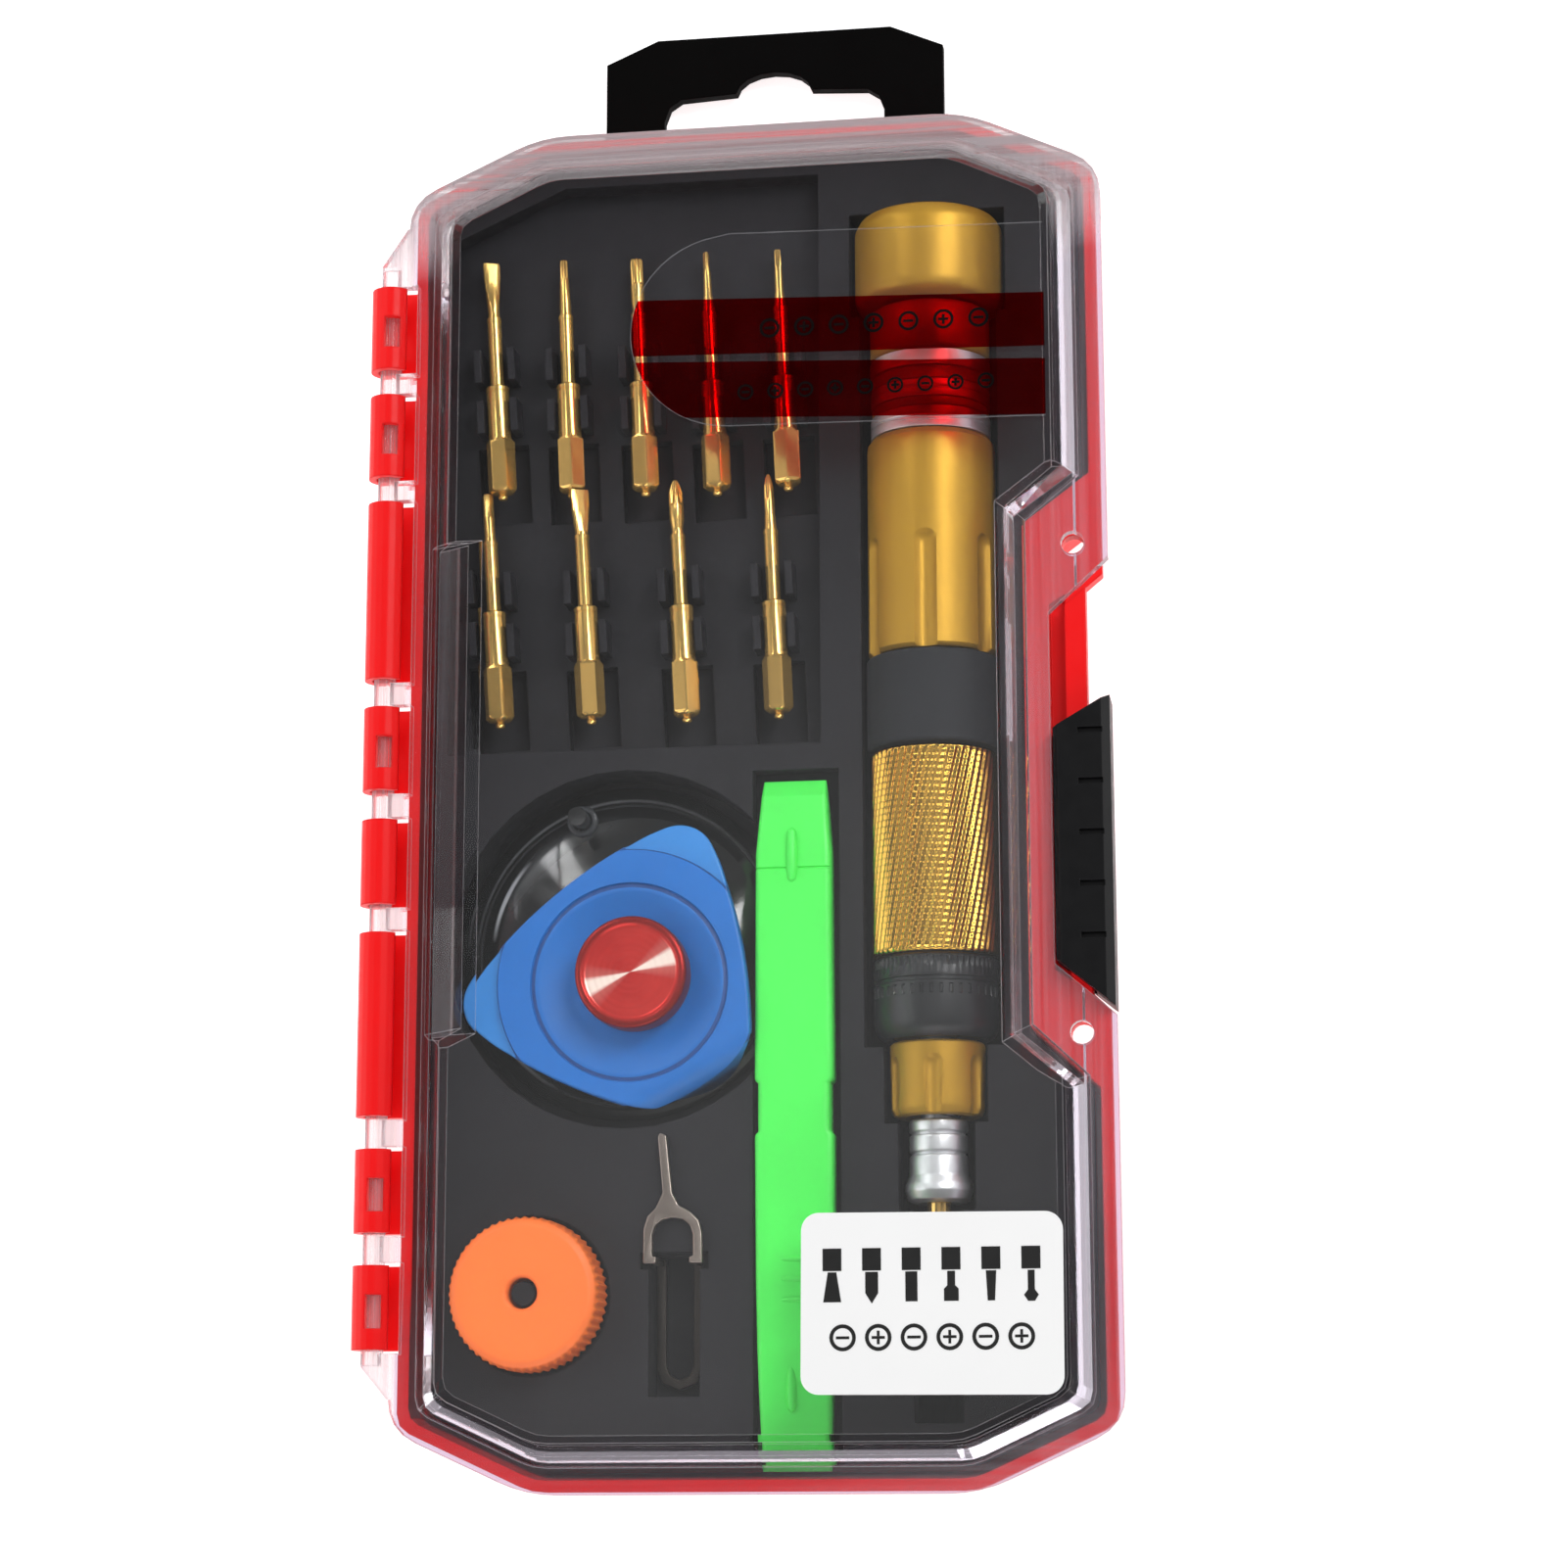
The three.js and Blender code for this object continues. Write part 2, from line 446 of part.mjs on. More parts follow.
put(driver, 'driver_cap', turned([
  [2.6, 60.95], [7.9, 60.95], [9.0, 61.5], [9.3, 62.4], [9.3, 71.3], [8.6, 72.5], [7.6, 72.9], [5.4, 72.9], [5.4, 64.2], [2.6, 64.2],
], 24), GOLD, 0.35, 0.9);
put(driver, 'cap_insert', turned([[0, 70.6], [5.15, 70.6], [5.15, 72.6], [4.4, 72.85], [0, 72.85]], 24), GOLD, 0.4, 0.9);
put(driver, 'cap_washer', turned([[2.55, 64.5], [5.0, 64.5], [5.0, 65.5], [2.55, 65.5]], 20), 0xb9a14e, 0.35, 0.9);
put(driver, 'cap_axle', turned([[0, 50.0], [2.3, 50.0], [2.3, 65.8], [4.4, 65.8], [4.4, 68.2], [3.6, 69.0], [0, 69.0]], 20), SILVER, 0.35, 0.9);

{
  let barrel = turned([
    [5.2, -30.6], [5.2, 16.4], [7.3, 16.4], [7.95, 17.0], [7.95, 42.9], [7.25, 43.9],
    [7.25, 46.8], [7.0, 47.0], [7.0, 48.0], [7.25, 48.2], [7.25, 50.3], [7.0, 50.5], [7.0, 51.9],
    [7.35, 52.1], [7.35, 53.9], [7.0, 54.3], [7.45, 54.7], [7.45, 60.1], [7.0, 60.6],
    [2.5, 60.6], [2.5, 49.6], [0, 49.6], [0, -29.0], [2.4, -29.0], [2.4, -30.6],
  ], 24);
  for (let k = 0; k < 6; k++) {
    const a = Math.PI / 3 * k;
    barrel = barrel.subtract(rodY(8.75 * Math.sin(a), 8.75 * Math.cos(a), 1.6, 10, 29.6, 8))
      .subtract(solid(new THREE.SphereGeometry(1.6, 8, 6), M.move(8.75 * Math.sin(a), 29.6, 8.75 * Math.cos(a))));
  }
  put(driver, 'driver_barrel', barrel, GOLD, 0.35, 0.9);
}
put(driver, 'driver_sleeve', turned([[5.45, 4.6], [7.9, 4.6], [8.2, 4.9], [8.2, 15.8], [7.9, 16.1], [5.45, 16.1]], 24), BLACK, 0.6, 0);
put(driver, 'driver_grip', turned([[5.45, -21.0], [7.5, -21.0], [7.8, -20.6], [7.8, 4.0], [7.5, 4.3], [5.45, 4.3]], 24), GOLD, 0.3, 0.9);
put(driver, 'driver_collar', turned([
  [5.45, -30.6], [6.3, -31.0], [7.1, -30.4], [7.6, -29.2], [7.6, -24.6], [7.35, -24.4], [7.35, -23.9], [7.6, -23.7], [7.6, -21.6], [7.4, -21.3], [5.45, -21.3],
], 24), 0x2c2d31, 0.55, 0.1);
{
  let nose = turned([
    [2.35, -37.0], [3.9, -37.0], [3.9, -40.2], [5.1, -40.2], [5.6, -39.6], [5.75, -33.6], [5.75, -31.3], [2.35, -31.3],
  ], 24);
  for (let k = 0; k < 6; k++) {
    const a = Math.PI / 3 * k;
    nose = nose.subtract(rodY(6.55 * Math.sin(a), 6.55 * Math.cos(a), 1.4, -42, -34.2, 8));
  }
  put(driver, 'driver_nose', nose, GOLD, 0.35, 0.9);
}
{
  // socket tube: round outside, hexagonal inside, with a seat for the magnet and a hole for the ball
  let holder = turned([[0, -29.3], [2.1, -29.3], [2.1, -49.6], [1.95, -49.9], [0, -49.9]], 20);
  holder = holder.subtract(solid(new THREE.CylinderGeometry(1.85, 1.85, 11.0, 6), mul(M.move(0, -45.1, 0), M.rotY(Math.PI / 6))));
  holder = holder.subtract(solid(new THREE.CylinderGeometry(1.6, 1.6, 3.0, 16), M.move(0, -38.9, 0)));
  holder = holder.subtract(solid(new THREE.CylinderGeometry(0.5, 0.5, 3, 10), mul(M.move(0, -47.5, 2.0), M.rotX(Math.PI / 2))));
  put(driver, 'bit_holder', holder, SILVER, 0.35, 0.9);
}
put(driver, 'holder_magnet', turned([[0, -39.4], [1.35, -39.4], [1.35, -37.6], [0, -37.6]], 12), 0x8a8c90, 0.4, 0.8);
put(driver, 'chuck_sleeve', turned([
  [3.05, -40.5], [3.5, -40.5], [3.5, -41.9], [3.2, -42.2], [3.5, -42.5], [3.5, -44.3], [3.2, -44.6],
  [3.5, -44.9], [3.55, -47.4], [4.05, -48.3], [4.1, -49.2], [3.7, -50.1], [3.0, -50.4], [2.35, -50.4], [2.35, -46.4], [3.05, -46.4],
], 16), SILVER, 0.25, 0.95);
{
  // return spring: a helix of wire
  class Helix extends THREE.Curve {
    getPoint(t, target = new THREE.Vector3()) {
      const a = 2 * Math.PI * 4.5 * t;
      return target.set(2.58 * Math.cos(a), -46.0 + 8.6 * t, 2.58 * Math.sin(a));
    }
  }
  const wire = new THREE.Shape();
  for (let k = 0; k < 4; k++) {
    const a = 2 * Math.PI * k / 4;
    if (k === 0) wire.moveTo(0.24 * Math.cos(a), 0.24 * Math.sin(a));
    else wire.lineTo(0.24 * Math.cos(a), 0.24 * Math.sin(a));
  }
  const g = new THREE.ExtrudeGeometry(wire, { steps: 40, extrudePath: new Helix(), bevelEnabled: false });
  put(driver, 'chuck_spring', solid(g), 0xb5b8bb, 0.3, 0.9);
}
put(driver, 'chuck_ball', solid(new THREE.SphereGeometry(0.36, 8, 6), M.move(0, -47.5, 1.9)), 0xd0d2d4, 0.2, 1);
{
  const mesh = put(driver, 'driver_bit', bitSolid(30.0, 'cross', 1.66), 0xb08a3e, 0.3, 0.9);
  mesh.position.set(0, -39.8, 0);
  mesh.rotation.z = Math.PI;
}

// ================================================================ suction cup, knob and pick
{
  // rim on the pocket floor; the soft body leans towards the knob
  let cup = turned([
    [0, 3.0], [8, 2.6], [13, 1.6], [18.5, 0], [CUP.r, 0], [CUP.r, 0.7],
    [17.5, 1.9], [13, 3.3], [8.4, 4.8], [6.2, 5.4], [6.2, 7.4], [0, 7.4],
  ], 32);
  const g = toGeometry(cup);
  const pos = g.attributes.position;
  const lean = [(KNOB.x - CUP.x) / 6.4, (KNOB.y - CUP.y) / 6.4];
  for (let i = 0; i < pos.count; i++) {       // turned about Y: stand it up along Z, then lean it
    const x = pos.getX(i), h = pos.getY(i), y = -pos.getZ(i);
    const k = Math.max(0, h - 0.9);
    pos.setXYZ(i, x + lean[0] * Math.min(k, 6.5), y + lean[1] * Math.min(k, 6.5), h);
  }
  cup = solid(g);
  // small eyelet through the brim
  const ex = -5.9, ey = 16.6;
  cup = cup.subtract(rodZ(ex, ey, 1.35, -2, 5, 12));
  // seat of the stud
  cup = cup.subtract(rodZ(KNOB.x - CUP.x, KNOB.y - CUP.y, 2.35, 4.4, 9, 16));
  const mesh = put(root, 'suction_cup', cup, 0x30343a, 0.15, 0, { transparent: true, opacity: 0.6 });
  mesh.position.set(CUP.x, CUP.y, CUP.z);
}
put(root, 'cup_stud', solid(new THREE.LatheGeometry([
  [0, 14.9], [2.05, 14.9], [2.05, 21.6], [1.8, 22.0], [0, 22.0],
].map(([r, y]) => V2(r, y)), 16), mul(M.move(KNOB.x, KNOB.y, 0), M.rotX(Math.PI / 2))), 0xc0c2c4, 0.35, 0.9);
put(root, 'cup_knob', solid(new THREE.LatheGeometry([
  [2.3, 19.4], [6.2, 19.4], [6.7, 19.8], [KNOB.r, 20.4], [KNOB.r, 23.2], [6.5, 23.7], [5.9, 23.7], [5.7, 23.5], [0, 23.5], [0, 22.3], [2.3, 22.3], [2.3, 19.4],
].map(([r, y]) => V2(r, y)), 28), mul(M.move(KNOB.x, KNOB.y, 0), M.rotX(Math.PI / 2))), 0xc8322c, 0.3, 0.85);
{
  // three-cornered plate with bulging sides and rounded corners
  const outline = [];
  const S = 44.4, R = 58.7, C = 16.0, rc = 4.5;
  for (let k = 0; k < 3; k++) {
    const a = (68.4 + 120 * k) * Math.PI / 180;
    const cx = C * Math.cos(a), cy = C * Math.sin(a);
    for (let j = 0; j <= 6; j++) {
      const t = a + (-1 + j / 3) * 50 * Math.PI / 180;
      outline.push([cx + rc * Math.cos(t), cy + rc * Math.sin(t)]);
    }
    const m = a + Math.PI / 3;
    for (let j = 1; j < 6; j++) {
      const t = m + (-1 + j / 3) * 10.5 * Math.PI / 180;
      outline.push([-S * Math.cos(m) + R * Math.cos(t), -S * Math.sin(m) + R * Math.sin(t)]);
    }
  }
  let pick = prism(outline, 0, PICK.t);
  // thinner tips
  const ring = solid(new THREE.LatheGeometry([[16.3, 1.5], [40, 1.0], [40, 5], [16.3, 5], [16.3, 1.5]].map(([r, y]) => V2(r, y)), 40), M.rotX(Math.PI / 2));
  pick = pick.subtract(ring);
  // dished middle and centre hole
  const dish = solid(new THREE.LatheGeometry([[0, 1.0], [7.4, 1.0], [11.9, 2.05], [11.9, 5], [0, 5]].map(([r, y]) => V2(r, y)), 36), M.rotX(Math.PI / 2));
  pick = pick.subtract(dish).subtract(rodZ(KNOB.x - PICK.x, KNOB.y - PICK.y, 2.7, -1, 5, 20));
  // the corner over the pocket's edge is bent down into the pocket
  const TURN = 61, CHORD = 12.6, BEND = 55;
  const flat = pick.rotate([0, 0, TURN]);
  const corner = flat.trimByPlane([1, 0, 0], CHORD).translate([-CHORD, 0, -PICK.t]).rotate([0, BEND, 0]).translate([CHORD, 0, PICK.t]);
  pick = flat.trimByPlane([-1, 0, 0], -CHORD - 0.01).add(corner).rotate([0, 0, -TURN]);
  const mesh = put(root, 'opening_pick', pick, 0x2f72c4, 0.35, 0);
  mesh.position.set(PICK.x, PICK.y, PICK.z);
}

// ================================================================ spudger
{
  const x = 4.8;
  const outline = [
    [x - 4.0, 1.3], [x - 4.9, -8], [x - 5.0, -35.6], [x - 4.55, -35.9], [x - 4.55, -41.7], [x - 5.0, -42.0], [x - 4.95, -60],
    [x - 4.6, -81.8], [x + 3.9, -81.8], [x + 4.8, -60], [x + 5.0, -42.0], [x + 4.55, -41.7], [x + 4.55, -35.9], [x + 5.0, -35.6], [x + 4.95, -8], [x + 4.0, 1.3],
  ];
  let s = prism(outline, 15.0, 19.0);
  const wedge = (pts) => {
    const shape = new THREE.Shape(pts.map(([y, z]) => V2(y, z)));
    const g = new THREE.ExtrudeGeometry(shape, { depth: 20, bevelEnabled: false });
    // plan of the wedge is Y,Z; run it along X
    const m = new THREE.Matrix4().makeBasis(new THREE.Vector3(0, 1, 0), new THREE.Vector3(0, 0, 1), new THREE.Vector3(1, 0, 0));
    return solid(g, mul(M.move(-5, 0, 0), m));
  };
  s = s.subtract(wedge([[-9, 19.01], [-0.4, 17.6], [1.5, 16.6], [3, 16.6], [3, 21], [-9, 21]]));
  s = s.subtract(wedge([[-68, 19.01], [-68, 21], [-84, 21], [-84, 16.4], [-82, 16.7]]));
  s = s.subtract(wedge([[-76, 14.9], [-84, 15.6], [-84, 14]]));
  put(root, 'spudger', s, 0x4fe060, 0.4, 0);
}

// ================================================================ eject pin
{
  // stamped steel fork with a needle; its legs turn down into the slot and end in a closed loop
  const t = 1.0, z = DECK + FIT;
  const outer = [[-0.9, -42.0], [-1.6, -41.7], [-1.85, -42.2], [-1.25, -48.9], [-2.1, -50.7], [-3.1, -51.7], [-3.55, -53.2], [-3.6, -57.3],
    [3.6, -57.3], [3.55, -53.6], [3.1, -52.2], [2.1, -51.2], [0.7, -50.4], [-0.1, -48.9], [-0.8, -42.2]];
  const gap = [[-2.45, -60], [-2.45, -53.9], [-2.1, -52.8], [-1.2, -52.1], [0, -51.9], [1.2, -52.1], [2.1, -52.8], [2.45, -53.9], [2.45, -60]];
  let pin = prism(outer, 0, t).subtract(prism(gap, -1, 3));
  const low = 12.55 - z;
  pin = pin.add(box(-2.8, -2.0, -57.3, -56.5, low, t)).add(box(2.0, 2.8, -57.3, -56.5, low, t));
  const loop = [[-2.8, -56.5], [-2.8, -69.6], [-2.1, -71.3], [0, -72.1], [2.1, -71.3], [2.8, -69.6], [2.8, -56.5]];
  const inside = [[-1.65, -50], [-1.65, -69.2], [-1.2, -70.3], [0, -70.9], [1.2, -70.3], [1.65, -69.2], [1.65, -50]];
  pin = pin.add(prism(loop, low, low + t).subtract(prism(inside, low - 1, low + 3)));
  const mesh = put(root, 'eject_pin', pin, 0x8c8078, 0.4, 0.85);
  mesh.position.set(PIN_X, 0, z);
}

// ================================================================ magnetiser
{
  const up = mul(M.move(MAG.x, MAG.y, 0), M.rotX(Math.PI / 2));
  const lathe = (pts, n) => solid(new THREE.LatheGeometry([...pts, pts[0]].map(([r, y]) => V2(r, y)), n), up);
  put(root, 'magnetizer_body', lathe([
    [MAG.hole, MAG.z0], [3.2, MAG.z0], [3.2, 21.0], [7.9, 21.0], [7.9, MAG.z0], [MAG.r - 0.3, MAG.z0], [MAG.r, MAG.z0 + 0.4],
    [MAG.r, MAG.z1 - 0.6], [MAG.r - 0.6, MAG.z1], [MAG.hole, MAG.z1],
  ], 30), 0xff7a30, 0.45, 0);
  put(root, 'magnetizer_ring', lathe([[3.5, MAG.z0 + 0.4], [7.6, MAG.z0 + 0.4], [7.6, 20.7], [3.5, 20.7]], 24), 0x5a5c60, 0.5, 0.7);
}

export default root;
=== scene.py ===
"""Precision screwdriver set in a hinged case: the looks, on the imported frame."""
import math
import bpy
import bmesh
from mathutils import Matrix, Vector


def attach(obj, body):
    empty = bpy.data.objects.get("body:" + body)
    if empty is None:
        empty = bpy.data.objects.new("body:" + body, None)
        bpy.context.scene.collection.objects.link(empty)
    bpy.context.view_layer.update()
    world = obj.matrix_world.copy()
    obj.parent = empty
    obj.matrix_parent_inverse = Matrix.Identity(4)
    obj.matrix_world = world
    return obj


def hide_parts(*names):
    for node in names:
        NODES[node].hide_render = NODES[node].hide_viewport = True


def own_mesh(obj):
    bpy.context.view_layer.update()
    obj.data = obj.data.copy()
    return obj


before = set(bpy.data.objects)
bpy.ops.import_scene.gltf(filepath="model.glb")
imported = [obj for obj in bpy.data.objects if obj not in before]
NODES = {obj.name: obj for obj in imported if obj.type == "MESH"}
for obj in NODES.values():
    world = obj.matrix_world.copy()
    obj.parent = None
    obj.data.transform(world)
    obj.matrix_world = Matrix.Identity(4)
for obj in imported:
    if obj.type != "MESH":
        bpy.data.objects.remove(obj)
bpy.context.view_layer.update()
MM = 0.001
TAU = 2 * math.pi

# ------------------------------------------------------------------ camera
scene = bpy.context.scene
cam_data = bpy.data.cameras.new("camera")
cam = bpy.data.objects.new("camera", cam_data)
scene.collection.objects.link(cam)
cam_data.sensor_fit = "HORIZONTAL"
cam_data.sensor_width = 36.0
cam_data.lens = 3742.11 / 1601 * 36.0
cam_data.clip_start = 0.01
cam_data.clip_end = 10.0
RIGHT = Vector((0.98874017, -0.00271221, -0.1496179))
UP = Vector((0.03288869, 0.97932742, 0.19958992))
BACK = Vector((0.14598358, -0.20226331, 0.96838956))
EYE = Vector((0.068757, -0.089787, 0.45180))
m = Matrix.Identity(4)
for i in range(3):
    m[i][0], m[i][1], m[i][2], m[i][3] = RIGHT[i], UP[i], BACK[i], EYE[i]
cam.matrix_world = m
scene.camera = cam


# ------------------------------------------------------------------ node helpers
class Nodes:
    """A material built from nodes, with short calls for the common ones."""

    def __init__(self, name):
        self.mat = bpy.data.materials.new(name)
        self.mat.use_nodes = True
        self.t = self.mat.node_tree
        self.t.nodes.clear()
        self.out = self.t.nodes.new("ShaderNodeOutputMaterial")
        self.co = None

    def add(self, kind, **props):
        n = self.t.nodes.new(kind)
        for k, v in props.items():
            setattr(n, k, v)
        return n

    def link(self, a, b):
        self.t.links.new(a, b)

    def coords(self, scale=(1, 1, 1), rot=(0, 0, 0), loc=(0, 0, 0)):
        if self.co is None:
            self.co = self.add("ShaderNodeTexCoord")
        mp = self.add("ShaderNodeMapping")
        mp.inputs["Location"].default_value = loc
        mp.inputs["Rotation"].default_value = rot
        mp.inputs["Scale"].default_value = scale
        self.link(self.co.outputs["Object"], mp.inputs["Vector"])
        return mp.outputs["Vector"]

    def noise(self, scale, detail=3.0, rough=0.55, vec=None, distortion=0.0):
        n = self.add("ShaderNodeTexNoise")
        n.inputs["Scale"].default_value = scale
        n.inputs["Detail"].default_value = detail
        n.inputs["Roughness"].default_value = rough
        n.inputs["Distortion"].default_value = distortion
        self.link(vec if vec is not None else self.coords(), n.inputs["Vector"])
        return n.outputs["Fac"]

    def ramp(self, fac, stops):
        n = self.add("ShaderNodeValToRGB")
        els = n.color_ramp.elements
        while len(els) > 2:
            els.remove(els[-1])
        for i, (p, c) in enumerate(stops):
            e = els[i] if i < 2 else els.new(p)
            e.position = p
            e.color = (*c, 1) if len(c) == 3 else c
        self.link(fac, n.inputs["Fac"])
        return n.outputs["Color"]

    def span(self, fac, lo, hi, a=0.0, b=1.0):
        n = self.add("ShaderNodeMapRange")
        for i, v in enumerate((lo, hi, a, b)):
            n.inputs[i + 1].default_value = v
        self.link(fac, n.inputs[0])
        return n.outputs[0]

    def math(self, op, a, b=None, clamp=False):
        n = self.add("ShaderNodeMath", operation=op, use_clamp=clamp)
        for i, v in enumerate((a, b)):
            if v is None:
                continue
            if isinstance(v, (int, float)):
                n.inputs[i].default_value = v
            else:
                self.link(v, n.inputs[i])
        return n.outputs[0]

    def mix(self, fac, a, b, mode="MIX"):
        n = self.add("ShaderNodeMix", data_type="RGBA", blend_type=mode)
        for sock, v in ((n.inputs[0], fac), (n.inputs[6], a), (n.inputs[7], b)):
            if isinstance(v, (int, float)):
                sock.default_value = v
            elif isinstance(v, tuple):
                sock.default_value = (*v, 1)
            else:
                self.link(v, sock)
        return n.outputs[2]

    def bump(self, height, strength=0.1, dist=0.0001, normal=None):
        n = self.add("ShaderNodeBump")
        n.inputs["Strength"].default_value = strength
        n.inputs["Distance"].default_value = dist
        self.link(height, n.inputs["Height"])
        if normal is not None:
            self.link(normal, n.inputs["Normal"])
        return n.outputs["Normal"]

    def round_edges(self, radius, samples=4):
        n = self.add("ShaderNodeBevel", samples=samples)
        n.inputs["Radius"].default_value = radius * MM
        return n.outputs["Normal"]

    def principled(self, **inputs):
        n = self.add("ShaderNodeBsdfPrincipled")
        for k, v in inputs.items():
            s = n.inputs[k.replace("_", " ")]
            if isinstance(v, (int, float)):
                s.default_value = v
            elif isinstance(v, tuple):
                s.default_value = (*v, 1) if len(v) == 3 and s.type == "RGBA" else v
            else:
                self.link(v, s)
        return n

    def finish(self, shader):
        self.link(shader, self.out.inputs["Surface"])
        return self.mat


def srgb(r, g, b):
    def f(c):
        c /= 255
        return c / 12.92 if c <= 0.04045 else ((c + 0.055) / 1.055) ** 2.4
    return (f(r), f(g), f(b))


def scaled(c, k):
    return tuple(min(1.0, x * k) for x in c)


def plastic(name, color, rough=0.4, grain=5200, grain_h=0.12, spread=0.10, coat=0.0, sss=0.0, spec=0.5,
            scuff=0.0, edge=0.0, shade=None, shade_to=None):
    n = Nodes(name)
    big = n.noise(90, 3, 0.5)
    fine = n.noise(grain, 2, 0.6)
    dark, light = scaled(color, 1 - spread), scaled(color, 1 + spread)
    col = n.ramp(big, [(0.3, dark), (0.7, light)])
    col = n.mix(n.span(fine, 0.35, 0.7, 0.0, 0.35), col, scaled(color, 1.25), "MIX")
    # shade: a mask for painted shade towards a dark copy of the colour, or painted highlight towards a pale shade_to
    if shade:
        col = n.mix(shade(n), col, shade_to or scaled(color, 0.12))
    rgh = n.span(n.noise(420, 4, 0.6), 0.3, 0.75, max(0.02, rough - 0.06), min(1, rough + 0.10))
    height = fine
    if scuff:
        lines = n.noise(260, 2, 0.4, n.coords((1, 14, 1), (0, 0, 0.6)))
        s = n.span(lines, 0.66, 0.74, 0.0, scuff)
        rgh = n.math("ADD", rgh, s, True)
    b = n.bump(height, grain_h, 0.00006, n.round_edges(edge) if edge else None)
    p = n.principled(Base_Color=col, Roughness=rgh, Normal=b, Coat_Weight=coat, Coat_Roughness=0.08,
                     Specular_IOR_Level=spec, Subsurface_Weight=sss)
    if sss:
        p.inputs["Subsurface Radius"].default_value = (1.0, 0.4, 0.3)
        p.inputs["Subsurface Scale"].default_value = 0.0008
    return n.finish(p.outputs[0])


def metal(name, color, rough=0.25, lines="y", line_scale=5000, line_h=0.10, spread=0.08, aniso=0.0, grit=0.05,
          painted_shade_below=None, metallic=1.0):
    """Turned or drawn metal: fine marks run round the Y axis (or along it for lines='x')."""
    n = Nodes(name)
    sc = {"y": (30, line_scale, 30), "x": (line_scale, 60, line_scale), "r": (1, 1, 1)}[lines]
    if lines == "r":
        marks = n.noise(2600, 4, 0.6)
    else:
        marks = n.noise(1.0, 3, 0.6, n.coords(sc))
    big = n.noise(140, 4, 0.6)
    col = n.ramp(big, [(0.25, scaled(color, 1 - spread)), (0.75, scaled(color, 1 + spread))])
    # painted shade: darker below a height, where the part sits deep in its slot
    if painted_shade_below:
        co = n.add("ShaderNodeTexCoord")
        pos = n.add("ShaderNodeSeparateXYZ")
        n.link(co.outputs["Object"], pos.inputs[0])
        col = n.mix(n.span(pos.outputs[2], painted_shade_below[0] * MM, painted_shade_below[1] * MM, 0.94, 0.0), col, scaled(color, 0.03))
    rgh = n.span(marks, 0.3, 0.7, rough - grit, rough + grit)
    b = n.bump(marks, line_h, 0.00003)
    p = n.principled(Base_Color=col, Metallic=metallic, Roughness=rgh, Normal=b, Anisotropic=aniso)
    return n.finish(p.outputs[0])


